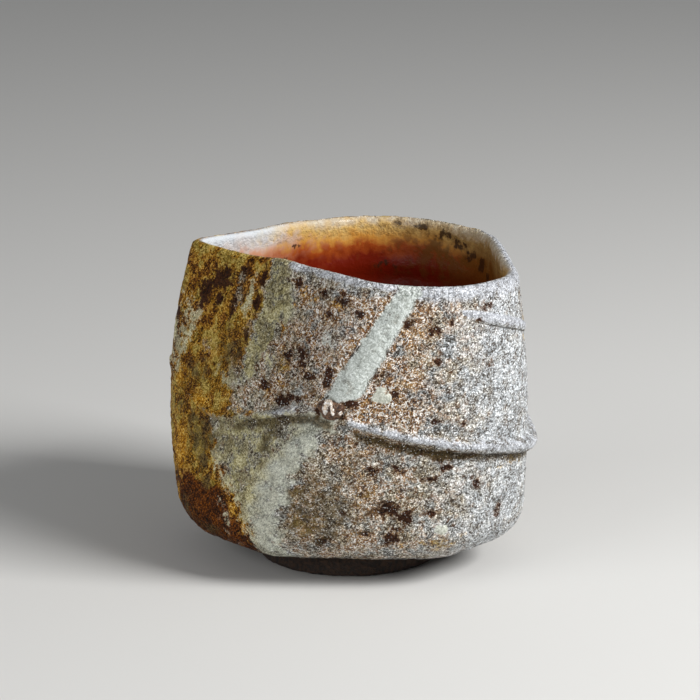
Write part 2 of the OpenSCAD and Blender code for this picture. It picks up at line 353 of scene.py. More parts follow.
def ripple(*waves):
    """Sum of waves, each given by its height and its phase."""
    return sum(tall * np.sin(phase) for tall, phase in waves)


def turned(side, other):
    """Degrees from one side to another, the short way round."""
    return (side - other + 180) % 360 - 180


def stretch(side, start, coming, end, going):
    """1 between two sides, with the degrees that it takes to come in and to go."""
    return step(turned(side, start), 0, coming) * (1 - step(turned(side, end), 0, going))


def edge_at(height, points):
    """Side of an edge at a height, from the points that it passes through."""
    levels, values = zip(*points)
    return np.interp(height, levels, values)


def lip_z(side):
    """Height of the lip, which is tilted and a little wavy."""
    wave = ripple(*((tall, np.radians(count * side + start)) for tall, count, start in LIP_WAVES))
    return LIP_H + LIP_RISE * np.cos(np.radians(side - HIGH_SIDE)) + wave


def ridge_z(side):
    """Height of the waist ridge, eased through the heights it has at a few sides."""
    at = np.array([RIDGE_SIDES[-1] - 360, *RIDGE_SIDES, RIDGE_SIDES[0] + 360, RIDGE_SIDES[1] + 360], float)
    level = np.array([RIDGE_HEIGHTS[-1], *RIDGE_HEIGHTS, RIDGE_HEIGHTS[0], RIDGE_HEIGHTS[1]])
    slope = np.pad((level[2:] - level[:-2]) / (at[2:] - at[:-2]), 1)
    side = (np.asarray(side) - RIDGE_SIDES[0]) % 360 + RIDGE_SIDES[0]
    i = np.clip(np.searchsorted(at, side, side="right") - 1, 0, len(at) - 2)
    gap = at[i + 1] - at[i]
    t = (side - at[i]) / gap
    start = level[i] * (1 + 2 * t) * (1 - t) ** 2 + slope[i] * gap * t * (1 - t) ** 2
    end = level[i + 1] * t**2 * (3 - 2 * t) + slope[i + 1] * gap * t**2 * (t - 1)
    return start + end


def ridge_swell(side):
    """How far round towards the ridge's bold side, 0 to 1."""
    return ((1 + np.cos(np.radians(side - RIDGE_SIDE))) / 2) ** 2


def band_middle(height):
    """Side of the band's middle, which leans to the right as it climbs."""
    return BAND_SIDE + BAND_LEAN * (height - BAND_LOW)


def band_half(height):
    """Half the band's width, which tapers up to the lip."""
    return (BAND_W + (BAND_TIP_W - BAND_W) * (height - BAND_LOW) / (BAND_HIGH - BAND_LOW)) / 2


def spill_middle(height):
    """Side of the spill's middle, which bends to the right above and below its dip."""
    return SPILL_SIDE + SPILL_BEND * (height - SPILL_H + SPILL_DIP) ** 2


def spill_half(height):
    """Half the spill's width, which narrows above and below its widest height."""
    return (SPILL_FOOT_W + (SPILL_W - SPILL_FOOT_W) * hump(height - SPILL_H, SPILL_TALL)) / 2


def thickness(height):
    """Thickness of the wall, which is thinnest at the lip."""
    return LIP_T + (WALL_T - LIP_T) * np.clip((LIP_H - height) / (LIP_H - SEAT_Z), 0, 1)


def under_edge(height):
    """How far the rounded lower edge draws the wall in."""
    q = np.clip(1 - (height - FOOT_H) / EDGE_R, 0, 1)
    return EDGE_R * (1 - np.sqrt(1 - q * q))


def spots(side, height, marks):
    """Soft spots, each given by its side, height, half width, half height and strength."""
    total = np.zeros(np.broadcast(side, height).shape)
    for at, level, wide, tall, strength in marks:
        across = turned(side, at) * DEGREE / wide
        along = (height - level) / tall
        total = np.maximum(total, strength * np.exp(-1.2 * (across**2 + along**2)))
    return total


# Dark iron: left of the upper wall, left of the band, under the ridge, low on the front, and on the right
IRON_SPOTS = [
    (187, 53.0, 3.4, 2.4, 0.95), (199, 55.2, 2.0, 1.5, 0.95), (181, 49.6, 2.0, 2.8, 0.9),
    (189, 49.2, 1.4, 1.6, 0.8), (213, 50.3, 1.7, 2.4, 0.95), (198, 49.5, 1.1, 4.5, 0.8),
    (214, 55.3, 1.2, 2.8, 0.95), (211, 43.6, 1.3, 2.4, 0.75),
    (250, 43.9, 1.5, 3.0, 0.9), (242, 43.2, 1.8, 1.4, 0.85), (254, 40.8, 1.8, 1.2, 0.95),
    (262, 40.8, 1.3, 2.0, 0.9), (230, 36.8, 1.7, 1.4, 0.8), (241, 35.2, 2.2, 1.2, 0.9),
    (248, 36.2, 2.2, 1.0, 0.85), (243, 55.9, 1.4, 1.5, 0.95), (258, 55.2, 1.3, 0.9, 0.9),
    (267, 54.6, 1.3, 1.2, 0.9), (262, 51.5, 1.4, 1.0, 0.7), (273, 52.6, 1.0, 1.0, 0.75),
    (279, 29.6, 2.2, 0.8, 0.9), (287, 28.6, 2.2, 0.9, 0.9), (294, 27.4, 2.0, 0.9, 0.85),
    (300, 27.0, 1.8, 1.3, 0.95), (309, 26.1, 2.0, 0.9, 0.9),
    (278, 23.9, 1.3, 1.2, 0.85), (286, 24.4, 1.3, 1.1, 0.85), (302, 24.3, 1.3, 0.8, 0.95),
    (296, 22.2, 1.6, 0.8, 0.9), (275, 20.9, 1.0, 1.0, 0.8), (313, 20.7, 1.1, 2.0, 0.75),
    (284, 16.4, 2.4, 2.0, 1.0), (290, 14.9, 1.5, 1.9, 1.0), (286, 10.8, 2.0, 1.8, 1.0),
    (276, 11.4, 1.5, 0.9, 0.95), (298, 15.6, 0.9, 0.8, 0.9), (325, 14.4, 1.2, 2.0, 0.65),
    (259, 9.9, 1.9, 1.1, 0.9), (267, 15.7, 0.8, 0.8, 0.9),
    (314, 53.4, 1.3, 1.0, 0.62), (310, 51.2, 1.0, 0.7, 0.62), (315, 42.8, 0.9, 1.2, 0.66),
    (298, 44.1, 0.9, 0.9, 0.64), (302, 51.5, 0.5, 1.2, 0.7), (291, 48.1, 1.4, 1.2, 0.62),
    (289, 51.0, 1.3, 1.4, 0.60), (297, 49.8, 1.1, 2.0, 0.66), (281, 41.8, 2.0, 0.9, 0.78),
    (285, 38.2, 0.8, 0.8, 0.9), (298, 33.2, 0.9, 0.8, 0.95), (306, 32.6, 1.0, 0.7, 0.95),
    (270, 36.6, 1.4, 0.9, 0.8), (259, 34.0, 1.2, 1.4, 0.9), (267, 34.6, 0.9, 1.3, 0.9),
]

# Yellow embers, olive gold, mauve grey where the gold holds back, soot streaks with painted shade low on the
# front and along the left of the ridge, thin pale ash, and iron in the bowl
EMBER_SPOTS = [
    (186, 21.0, 2.8, 5.5, 1.0), (194, 30.6, 2.6, 1.2, 0.9), (200, 29.2, 2.4, 1.0, 0.8),
    (181, 34.2, 1.2, 3.5, 0.8), (232, 9.3, 2.4, 3.0, 1.0), (227, 12.0, 2.2, 3.0, 0.9),
    (246, 54.6, 2.0, 1.0, 0.8), (265, 53.6, 2.2, 1.0, 0.75), (236, 48.0, 1.2, 2.2, 0.9),
    (232, 36.0, 1.8, 1.2, 0.8), (241, 51.5, 1.6, 1.4, 0.6), (197, 39.6, 4.0, 1.6, 0.45),
    (222, 31.4, 4.0, 0.8, 0.7), (289, 9.2, 1.2, 1.6, 0.6), (239, 38.0, 2.2, 1.4, 0.5),
    (184, 12.0, 1.6, 4.0, 0.7), (221, 14.0, 1.8, 2.5, 0.7), (252, 53.2, 3.2, 1.8, 0.52),
    (261, 51.0, 3.0, 2.0, 0.50),
]
OLIVE_SPOTS = [
    (252, 30.2, 3.2, 1.6, 0.28), (251, 19.1, 2.4, 2.4, 0.21), (250, 13.4, 4.0, 2.4, 0.18),
    (206, 7.6, 4.0, 1.4, 0.60), (260, 13.0, 4.5, 2.6, 0.18), (213, 30.2, 4.5, 1.6, 0.65),
    (268, 21.0, 8.0, 10.0, 0.11), (336, 50.0, 2.5, 5.0, 0.32), (329, 23.0, 4.0, 1.4, 0.32),
    (214, 14.5, 1.6, 2.0, 0.70), (304, 9.4, 6.0, 1.8, 0.17), (238, 41.5, 2.5, 2.0, 0.28),
]
MAUVE_SPOTS = [
    (200, 49.7, 2.6, 4.0, 0.66), (198, 53.8, 2.2, 2.0, 0.6), (202, 45.6, 2.6, 3.0, 0.62),
    (211, 45.3, 2.2, 2.6, 0.62), (190, 41.0, 4.0, 3.0, 0.55), (207, 38.0, 3.0, 3.0, 0.58),
]
SOOT_SPOTS = [
    (256, 16.0, 10.0, 9.0, 0.62), (188, 35.5, 5.0, 3.6, 0.55), (184, 28.5, 3.2, 3.4, 0.50),
    (239, 29.6, 4.0, 1.8, 0.8), (235, 26.5, 2.6, 3.2, 0.75), (204, 7.6, 4.0, 1.8, 0.6),
    (192, 10.5, 3.0, 3.0, 0.5), (234, 23.5, 2.4, 2.6, 0.6), (231, 52.0, 1.4, 2.0, 0.35),
    (191, 27.0, 1.4, 2.4, 0.75), (195, 23.5, 1.5, 2.6, 0.85), (200, 20.0, 1.5, 2.6, 0.85),
    (203.5, 16.9, 1.5, 1.8, 0.8), (198, 25.0, 5.0, 5.5, 0.68), (204, 40.5, 5.0, 5.0, 0.60),
    (252, 38.5, 3.5, 2.0, 0.4), (262, 13.5, 8.0, 5.0, 0.58), (268, 19.0, 3.0, 1.6, 0.4),
    (271, 26.5, 4.0, 1.6, 0.45), (258, 22.0, 2.4, 1.6, 0.4),
]
PALE_SPOTS = [
    (174, 41.0, 2.6, 6.0, 0.60), (180, 44.0, 1.4, 4.0, 0.50), (213, 14.5, 1.0, 2.5, 0.38),
    (216, 10.5, 0.8, 1.6, 0.36), (207, 51.5, 1.6, 3.0, 0.45), (206, 36.5, 3.0, 2.2, 0.50),
    (221, 46.0, 2.0, 2.5, 0.50), (232, 41.0, 3.0, 2.6, 0.45), (262, 47.3, 2.4, 3.0, 0.42),
]
BOWL_SPOTS = [
    (75, 55.0, 1.3, 0.8, 0.8), (66, 54.6, 1.6, 0.8, 0.8), (57, 53.8, 2.4, 1.2, 0.75),
    (112, 51.9, 1.2, 0.9, 0.6), (118, 49.8, 1.5, 1.0, 0.65), (50, 52.4, 1.8, 1.2, 0.8),
    (43, 51.0, 1.8, 1.3, 0.85), (37, 49.8, 1.8, 1.4, 0.9), (31, 48.4, 1.8, 1.6, 0.9),
    (78, 47.5, 2.2, 1.8, 0.6),
]


def unseen_spots(count, seed):
    """Iron spots for the back of the cup, scattered by a fixed seed."""
    draw = np.random.default_rng(seed)
    for _ in range(count):
        wide = draw.uniform(0.5, 2.2)
        at, level = draw.uniform(5, 172), draw.uniform(8, 54)
        tall = wide * draw.uniform(0.5, 1.2)
        yield at, level, wide, tall, draw.uniform(0.5, 0.95)


ALL_IRON = IRON_SPOTS + list(unseen_spots(count=44, seed=7))

# Stretches round the cup: the side where each starts, the degrees it takes to come in, the side where
# it starts to end, and the degrees it takes to go
BACK = (15, 30, 135, 30)
UNSEEN = (348, 16, 150, 26)
FROSTED = (282, 42, 10, 40)
ROPE_LEFT = (228, 10, 261, 4)
HOLLOW_LEFT = (206, 14, 261, 4)
RIDGE_BY_STONE = (222, 22, 247, 11)

# Edges of the spill and of the scorched corner: heights, and the side that the edge has at each
SPILL_RIGHT = ((11, 243.5), (15.2, 244.5), (19.1, 247), (23.3, 250.5), (27.4, 256.5), (31.5, 263))
SPILL_LEFT = ((10.3, 232.5), (13.7, 228), (16.4, 222), (21.5, 230), (26, 240), (30.8, 250))
SCORCH_RIGHT = ((6, 238), (10.3, 231), (13.7, 224), (17, 214), (22, 204), (28.6, 193), (32, 189))

# The pale streak on the left of the upper wall: heights, and its middle's side and half width at each
STREAK_LEVELS = (35, 39, 41.6, 44.2, 47.5, 51, 53.6, 56)
STREAK_SIDES = (214, 218.3, 220.5, 222, 227, 231.5, 230.5, 226.5)
STREAK_HALVES = (2.0, 2.5, 2.7, 3.5, 4.8, 6.0, 6.0, 4.0)


def bearings(side, height):
    """Where a place outside lies: above or below the ridge, how far from the lip, the band, the spill,
    the streak and the scorched corner, and how far round towards the back and the left."""
    at = SimpleNamespace(side=side, height=height, line=ridge_z(side), from_lip=lip_z(side) - height)
    at.above = step(height - at.line, -0.8, 0.8)
    at.below = 1 - at.above
    at.behind = stretch(side, *BACK)
    wander = ripple((11, 0.21 * height + 1.1), (7, 0.53 * height), (4, 1.3 * height + 0.4))
    at.leftward = step(turned(side + wander, 116), 0, 44)
    sway = ripple((0.55, 0.105 * side + 0.19 * height), (0.45, 0.21 * side - 0.27 * height + 1.0),
                  (0.3, 0.47 * side + 0.6 * height))
    at.drift = stretch(side, *UNSEEN) * step(sway, -0.3, 0.9)

    broken = ripple((0.6, 0.9 * height + 0.35 * side), (0.5, 2.1 * height - 0.5 * side),
                    (0.4, 3.7 * height + 0.9 * side))
    ragged = ripple((0.5, 1.1 * height), (0.4, 2.7 * height + 1), (0.3, 5.1 * height))
    at.off_band = turned(side, band_middle(height)) * DEGREE
    at.in_spill = broken - turned(side, edge_at(height, SPILL_RIGHT)) * DEGREE
    at.past_spill_left = turned(side, edge_at(height, SPILL_LEFT)) * DEGREE
    at.off_scorch = turned(side, edge_at(height, SCORCH_RIGHT)) * DEGREE + 1.2 * broken
    off_streak = turned(side, np.interp(height, STREAK_LEVELS, STREAK_SIDES)) * DEGREE + ragged
    at.across_streak = off_streak / np.interp(height, STREAK_LEVELS, STREAK_HALVES)
    return at


def pale_shares(at):
    """Pale ash: the band, the spill below it, a streak on the left, and the left of the waist."""
    band = at.above * (1 - step(np.abs(at.off_band) / band_half(at.height), 0.70, 1.30))
    band = band * step(at.height - BAND_FOOT - 0.25 * at.off_band, -0.8, 0.8)
    spill = at.below * step(at.in_spill, -1.8, 1.8) * step(at.past_spill_left, -5.0, 2.5)
    streak = at.above * (1 - step(at.across_streak, 0.35, 1.35)) * (1 - step(-at.across_streak, 0.75, 1.25))
    streak = streak * step(at.height, 33, 40)
    waist = at.below * (1 - step(turned(at.side, 244), -8, 0)) * step(at.off_scorch, -2.5, 4.0)
    waist = waist * step(turned(at.side, 197), 0, 13)
    return band, spill, streak, waist


def rust_share(at):
    """Rust glass: thick beside the band and above the ridge, thinner to the right, in drifts behind."""
    right = step(at.off_band, 1.5, 3.5)
    by_band = np.exp(-np.clip(at.off_band - 3, 0, None) / 8)
    on_ridge = hump(at.height - at.line - 4.5, 3.5) * (1 - step(turned(at.side, 290), 0, 16))
    rust_right = 0.14 + 0.50 * by_band + 0.48 * on_ridge - 0.10 * step(turned(at.side, 318), -8, 14)
    rust_above = (rust_right * right + 0.44 * (1 - right)) * at.above
    rust_below = (0.16 + 0.26 * hump(turned(at.side, 272), 26)) * at.below
    rust = np.maximum(rust_above, rust_below) * (1 - at.behind) + 0.46 * at.behind
    rust = rust * (1 - 0.8 * (1 - step(at.from_lip, 0.6, 3.0)) * step(turned(at.side, 225), 0, 10))
    band_edge = at.above * hump(at.off_band + band_half(at.height) + 0.5, 0.7)
    drifts = at.drift * step(at.from_lip, 1.0, 4.0)
    return np.maximum.reduce([rust, 0.75 * band_edge, 0.62 * drifts])


def gold_shares(at, waist, thick):
    """Gold brown on the left of the cup and in drifts behind, and the scorched corner below it."""
    left = step(-at.across_streak, 0.40, 2.0) * at.leftward
    low_left = at.below * (1 - step(at.off_scorch, 1.0, 6.0)) * at.leftward * step(at.height, 6.0, 10.0)
    olive = spots(at.side, at.height, OLIVE_SPOTS)
    golden = np.maximum.reduce([1.3 * left * at.above, 1.2 * low_left, 0.45 * waist, olive])
    golden = golden * (1 - spots(at.side, at.height, MAUVE_SPOTS)) * (1 - 0.7 * thick)
    gold_behind = 0.42 * at.behind * at.above * (0.4 + 0.6 * at.drift)
    burnt_top = at.height + ripple((1.6, 0.11 * at.side + 2.2), (0.9, 0.29 * at.side))
    scorch = 1.2 * (1 - step(burnt_top, 13.0, 17.5)) * (1 - step(at.off_scorch, -2.0, 2.0))
    return golden + gold_behind, scorch * at.leftward * step(turned(at.side, 126), 0, 40)


def soot_share(at):
    """Painted shade in the hollow under the ridge, right and left of the big stone."""
    right = hump(at.line - 2.4 - at.height, 1.0) * step(turned(at.side, 266), 0, 10)
    right = right * (1 - 0.7 * step(turned(at.side, 332), 0, 30)) * (1 - at.behind)
    left = hump(at.line - 1.7 - at.height, 0.9) * stretch(at.side, *HOLLOW_LEFT)
    return np.maximum(right, left)


def firing_marks(side, height):
    """What the fire left at each place outside, with painted light and shade: shares of ash, rust, iron and
    so on, about 0 to 1.
    """
    at = bearings(side, height)
    band, spill, streak, waist = pale_shares(at)
    thick = np.maximum.reduce([band, 0.9 * spill, 0.86 * streak, 0.66 * waist])
    pale = np.maximum(thick, spots(side, height, PALE_SPOTS))
    bare = 1 - np.maximum(band, spill)
    golden, scorch = gold_shares(at, waist, thick)
    # Bluish white on the right side, which faces the light: partly frosty ash, partly painted light
    frost = 0.72 * stretch(side, *FROSTED) * (1 - 0.6 * at.drift)
    rim = (1 - step(at.from_lip, 0.8, 4.0)) * step(turned(side, 288), -14, 8) * (1 - at.behind)
    rim_left = 0.8 * (1 - step(at.from_lip, 0.4, 1.5)) * step(turned(side, 222), 0, 12)
    # Painted highlight along the top of the faint ridge, left of the big stone
    rope = 0.6 * hump(at.line + 0.2 - height, 0.8) * stretch(side, *ROPE_LEFT)
    # Warm tint on the left and below, where the cup is in shade: painted warm bounce light
    warm_above = 1 - step(turned(side, 250), -20, 14) * (1 - at.behind)
    warm_below = 0.35 + 0.65 * step(at.in_spill, 4.0, 10.0)
    return {
        "pale": pale,
        "rust": rust_share(at) * (1 - 0.9 * pale),
        "iron": spots(side, height, ALL_IRON) * (0.25 + 0.75 * bare),
        "ember": spots(side, height, EMBER_SPOTS) * bare,
        "olive": golden,
        "scorch": scorch * bare,
        "frost": np.maximum.reduce([frost, 0.6 * rim, rim_left, rope]) * (1 - 0.4 * pale),
        "lilac": np.maximum(0.80 * rim * (1 - 0.2 * band), 0.8 * rim_left),
        # Soot streaks, with painted shade under the ridges and low on the front
        "soot": np.maximum(0.9 * soot_share(at), spots(side, height, SOOT_SPOTS) * (1 - 0.8 * spill)),
        "warm": np.where(height > at.line, warm_above, warm_below),
    }


def bowl_marks(side, height):
    """What the fire left at each place inside, with painted light and shade: depth below the lip, flushes of
    colour, and iron.
    """
    return {
        "depth": np.clip((lip_z(side) - height) / BOWL_DEEP, 0, 1),
        # The pale flush lies on the left wall, which faces the light, and the darker olive side on the right
        # wall, in shade: both are partly painted light and shade
        "blush": hump(turned(side, 164), 52),
        "tarnish": hump(turned(side, 25), 42),
        "spot": spots(side, height, BOWL_SPOTS),
    }


def bowl_grain(side, height):
    """Roughness of the bowl, which is drier towards the lip."""
    return 0.08 + 0.22 * (1 - step(lip_z(side) - height, 0, 8))


# Marks that every piece of clay carries for its material, and the places that its tree reads
CRUST_MARKS = ("pale", "rust", "iron", "ember", "olive", "scorch", "frost", "lilac", "soot", "warm")
BOWL_MARKS = ("depth", "blush", "tarnish", "spot")
MARKS = CRUST_MARKS + BOWL_MARKS + ("bare", "inside", "milk")
BOWL_LUMP = 0.35
PLACES = ("side", "height", "inset", "spread", "out", "up", "lump", "grain")
PLAIN = {"inset": 0.0, "spread": 1.0, "out": 1.0, "up": 0.0, "lump": 1.0, "grain": 1.0}


def add_object(name, data):
    obj = bpy.data.objects.new(name, data)
    bpy.context.scene.collection.objects.link(obj)
    return obj


def grid_mesh(name, shape, rows_join, sides_join, capped):
    """A sheet of four-sided faces on rows and columns, joined to itself or capped at its ends."""
    rows, columns = shape
    index = np.arange(rows * columns).reshape(shape)
    low = index if rows_join else index[:-1]
    low = low if sides_join else low[:, :-1]
    r, c = np.divmod(low, columns)
    up, on = (r + 1) % rows, (c + 1) % columns
    corners = [low, r * columns + on, up * columns + on, up * columns + c]
    faces = np.stack(corners, -1).reshape(-1, 4).tolist()
    if capped:
        faces += [index[:, 0].tolist(), index[::-1, -1].tolist()]
    mesh = bpy.data.meshes.new(name)
    mesh.from_pydata(np.zeros((rows * columns, 3)).tolist(), [], faces)
    return mesh


def settle(obj):
    """Turns an object's modifiers into its mesh, closes its seams and points its faces outwards."""
    bpy.context.view_layer.update()
    shown = obj.evaluated_get(bpy.context.evaluated_depsgraph_get())
    mesh = bpy.data.meshes.new_from_object(shown)
    obj.modifiers.clear()
    obj.data = mesh
    work = bmesh.new()
    work.from_mesh(mesh)
    bmesh.ops.remove_doubles(work, verts=work.verts, dist=WELD * MM)
    bmesh.ops.recalc_face_normals(work, faces=work.faces)
    work.to_mesh(mesh)
    work.free()
    mesh.shade_smooth()
    mesh.set_sharp_from_angle(angle=math.radians(SOFT_DEGREES))


def clay_piece(name, material, places, marks, rows_join=False, sides_join=True, capped=False):
    """A piece of the cup: a sheet with its places and marks, put round the cup by the paddled clay tree."""
    given = {**PLAIN, **places}
    shape = np.broadcast(*(np.asarray(given[p]) for p in PLACES)).shape
    mesh = grid_mesh(name, shape, rows_join, sides_join, capped)
    fields = {**{m: 0.0 for m in MARKS}, **marks, **{p: given[p] for p in PLACES}}
    for field, value in fields.items():
        values = np.broadcast_to(value, shape).astype(np.float32).ravel()
        mesh.attributes.new(field, "FLOAT", "POINT").data.foreach_set("value", values)
    obj = add_object(name, mesh)
    modifier = obj.modifiers.new("paddled_clay", "NODES")
    modifier.node_group = PADDLED_CLAY
    set_input(modifier, "Material", material)
    settle(obj)
    return obj


def keep(obj, node):
    """Puts a finished piece on the cup's one body, where it stands for a node."""
    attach(obj, "root")
    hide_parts(node)


def sides_round(count):
    """Sides spaced evenly all round, as one row."""
    return (np.arange(count) * 360 / count)[None, :]


def column(values):
    return np.asarray(values, float)[:, None]


def stack(*blocks):
    """Rows of several blocks, one after another, as one block for each place."""
    joined = {}
    for name in sorted({n for block in blocks for n in block}):
        rows = []
        for block in blocks:
            shape = np.broadcast_shapes(*(np.shape(value) for value in block.values()))
            rows.append(np.broadcast_to(block.get(name, PLAIN.get(name, 0.0)), shape))
        joined[name] = np.vstack(rows)
    return joined


def make_wall(crust):
    """Upper wall: outside from the seat to the lip, round the lip, and down the inside to the seat."""
    side = sides_round(COLUMNS)
    half = LIP_T / 2
    below_lip = lip_z(side) - half
    share = column(np.linspace(0, 1, round((LIP_H - SEAT_Z) / ROW)))
    outside = {"side": side, "height": SEAT_Z + (below_lip - SEAT_Z) * share}
    arc = column(np.radians(np.linspace(15, 165, 9)))
    lip_height = lip_z(side) + half * (np.sin(arc) - 1)
    inward = step(arc, 0.8, 2.4)
    lip = {
        "side": side,
        "height": lip_height,
        "inset": half * (1 - np.cos(arc)),
        "out": np.cos(arc),
        "up": np.sin(arc),
        "lump": 1 + (BOWL_LUMP - 1) * inward,
        "grain": 0.6 + (bowl_grain(side, lip_height) - 0.6) * inward,
        "inside": step(arc, 1.3, 2.3),
    }
    down = column(np.concatenate([np.linspace(0, 0.12, 8), np.linspace(0.2, 1, 6)]))
    inner_z = below_lip - (below_lip - SEAT_Z) * down
    inside = {"side": side, "height": inner_z, "inset": thickness(inner_z), "out": -1.0, "lump": BOWL_LUMP,
              "grain": bowl_grain(side, inner_z), "inside": 1.0}
    places = stack(outside, lip, inside)
    marks = firing_marks(places["side"], places["height"])
    marks.update(bowl_marks(places["side"], places["height"]), inside=places["inside"])
    places["grain"] = places["grain"] * (1 - PALE_SMOOTH * marks["pale"])
    keep(clay_piece("cup_wall", crust, places, marks, rows_join=True), "wall")


def make_base(crust):
    """Dish below the wall: from the middle of its underside, round its edge, to the seat and down inside."""
    side = sides_round(COLUMNS)
    under = {"side": side, "height": FOOT_H, "inset": EDGE_R, "spread": column(np.linspace(0, 0.97, 14)),
             "out": 0.0, "up": -1.0, "lump": 0.3, "grain": 0.5}
    arc = column(np.radians(np.linspace(0, 90, 28)))
    edge = {"side": side, "height": FOOT_H + EDGE_R * (1 - np.cos(arc)), "inset": EDGE_R * (1 - np.sin(arc)),
            "out": np.sin(arc), "up": -np.cos(arc)}
    edge_top = FOOT_H + EDGE_R
    levels = np.linspace(edge_top, SEAT_Z, round((SEAT_Z - edge_top) / ROW))
    outside = {"side": side, "height": column(levels[1:])}
    hidden = {"side": side, "lump": 0.0, "grain": 0.0}
    seat = {**hidden, "height": SEAT_Z, "inset": WALL_T}
    cove = column(np.radians(np.linspace(90, 0, 6)))
    corner = {**hidden, "height": FLOOR_Z + COVE_R * (1 - np.cos(cove)),
              "inset": WALL_T + COVE_R * (1 - np.sin(cove))}
    floor = {**hidden, "height": FLOOR_Z, "inset": WALL_T + COVE_R, "spread": column(np.linspace(0.8, 0, 4))}
    places = stack(under, edge, outside, seat, corner, floor)
    marks = firing_marks(places["side"], places["height"])
    marks["bare"] = step(-places["up"], 0.80, 0.97)
    places["grain"] = places["grain"] * (1 - PALE_SMOOTH * marks["pale"])
    keep(clay_piece("cup_base", crust, places, marks), "base")


def section_rows(count):
    """Rows round a strip's section, from its upper edge over its front to its lower edge, then its back."""
    front = np.linspace(1, -1, count)
    back = np.linspace(-1, 1, BACK_ROWS)
    is_front = np.concatenate([np.ones(count), np.zeros(BACK_ROWS)])
    return column(np.concatenate([front, back])), column(is_front)


def make_strip(name, material, places, marks, node):
    """A piece with a closed section and two capped ends, such as a coil or a skin of ash."""
    obj = clay_piece(name, material, places, marks, rows_join=True, sides_join=False, capped=True)
    keep(obj, node)


def coil_places(side, line, bold, up, down, rows):
    """A coil along the wall: hollow above its crest, round below it, and sunk into the wall at its edges."""
    v, front = section_rows(rows)
    rise = np.clip(v, 0, 1)
    above = 0.75 * hump(rise, 0.30) + 0.25 * (1 - rise) ** 2
    flare = np.where(v > 0, above * (1 - rise**4), np.sqrt(np.clip(1 - v**2, 0, 1)))
    proud = np.where(front > 0, (bold + SUNK) * flare - SUNK, -3 * SUNK)
    side, height = np.broadcast_arrays(side, line + v * np.where(v > 0, up, down))
    return {"side": side, "height": height, "inset": -proud, "grain": 0.8}, v


def make_waist_ridge(crust):
    """Coil round the waist, from one side of the big stone to the other."""
    stone = STONES[0][0]
    start, end = stone + RIDGE_GAP, stone + 360 - RIDGE_GAP
    side = np.linspace(start, end, RIDGE_COLUMNS)[None, :]
    fade = step(side, start - 8, start + 5) * (1 - step(side, end - 10, end + 4))
    swell = ridge_swell(side)
    bold = (RIDGE_FAINT + (RIDGE_BOLD - RIDGE_FAINT) * swell) * fade
    bold = bold + 0.12 * np.sin(np.radians(side * 5)) * swell
    bold = bold + STONE_RIDGE_BOLD * stretch(side, *RIDGE_BY_STONE)
    share = (0.45 + 0.55 * swell) * (0.5 + 0.5 * fade)
    places, v = coil_places(side, ridge_z(side), bold, RIDGE_UP * share, RIDGE_DOWN * share, RIDGE_ROWS)
    marks = firing_marks(places["side"], places["height"])
    # A lilac crest along the coil's top, with the dark marks thinned there: partly pale ash, partly painted
    # highlight
    crest = hump(v + 0.15, 0.42) * step(bold, 0.45, 0.9) * (1 - marks["pale"])
    places["grain"] = places["grain"] * (1 - 0.6 * crest)
    marks["lilac"] = np.maximum(marks["lilac"], 0.8 * crest)
    for dark in ("rust", "iron", "olive", "soot"):
        marks[dark] = marks[dark] * (1 - 0.9 * crest)
    make_strip("waist_ridge_coil", crust, places, marks, "waist_ridge")


def make_shoulder_ridge(crust):
    """Low coil that runs down from the lip on the right of the front."""
    side = np.linspace(SHOULDER_FROM, SHOULDER_TO, SHOULDER_COLUMNS)[None, :]
    share = (side - SHOULDER_FROM) / (SHOULDER_TO - SHOULDER_FROM)
    line = LIP_H - SHOULDER_DROP - SHOULDER_FALL * share
    bold = SHOULDER_BOLD * step(share, 0.0, 0.5) * (1 - step(share, 0.85, 1.0))
    bold = bold - 1.5 * SUNK * (1 - step(share, 0.0, 0.3))
    places, v = coil_places(side, line, bold, SHOULDER_UP, SHOULDER_DOWN, SHOULDER_ROWS)
    marks = firing_marks(places["side"], places["height"])
    # A lilac crest along the coil's top: partly pale ash, partly painted highlight
    crest = hump(v, 0.6) * step(share, 0.02, 0.12)
    marks["lilac"] = np.maximum(marks["lilac"], 1.1 * crest)
    marks["rust"] = marks["rust"] * (1 - 0.8 * crest)
    # Painted shadow under the coil's lower side
    marks["soot"] = np.maximum(marks["soot"], 0.6 * step(-v, 0.55, 0.95) * step(share, 0.1, 0.3))
    make_strip("shoulder_ridge_coil", crust, places, marks, "shoulder_ridge")


def skin_places(height, middle, half, rows):
    """A thin skin up the wall: each column is one height, and the rows go across its front and its back."""
    v, front = section_rows(rows)
    lens = np.cos(np.radians(80 * v))
    proud = np.where(front > 0, (BAND_T + SUNK) * lens - SUNK, -2 * SUNK)
    side, height = np.broadcast_arrays(middle - v * half / DEGREE, height)
    return {"side": side, "height": height, "inset": under_edge(height) - proud, "grain": 0.4}


def make_ash_band(ash):
    """Pale ash: a band that climbs to the lip, and its spill below the ridge."""
    runs = (
        ("ash_band", BAND_LOW - BAND_TUCK, LIP_H - BAND_SHORT, band_middle, band_half),
        ("ash_spill", SPILL_LOW, SPILL_HIGH, spill_middle, spill_half),
    )
    for name, low, high, middle, half in runs:
        height = np.linspace(low, high, round((high - low) / SKIN_ROW))[None, :]
        share = (height - low) / (high - low)
        ends = np.minimum(step(share, 0.0, 0.1), 1 - 0.5 * step(share, 0.9, 1.0))
        reach = 1.1 * half(height) * np.sqrt(np.clip(ends, 0.05, 1))
        places = skin_places(height, middle(height), reach, SKIN_ROWS)
        marks = firing_marks(places["side"], places["height"])
        make_strip(name, ash, places, marks, "ash_band")


def milky_slivers(across, along):
    """Where the big stone shows milky glass: two leaning slivers and a shard beside them."""
    left = hump(across - 0.16 * along + 0.36, 0.20)
    right = hump(across + 0.16 * along - 0.16, 0.13)
    shard = hump(across - 0.78, 0.17) * hump(along + 0.25, 0.24)
    return (left + right) * step(along, -0.60, -0.30) + shard


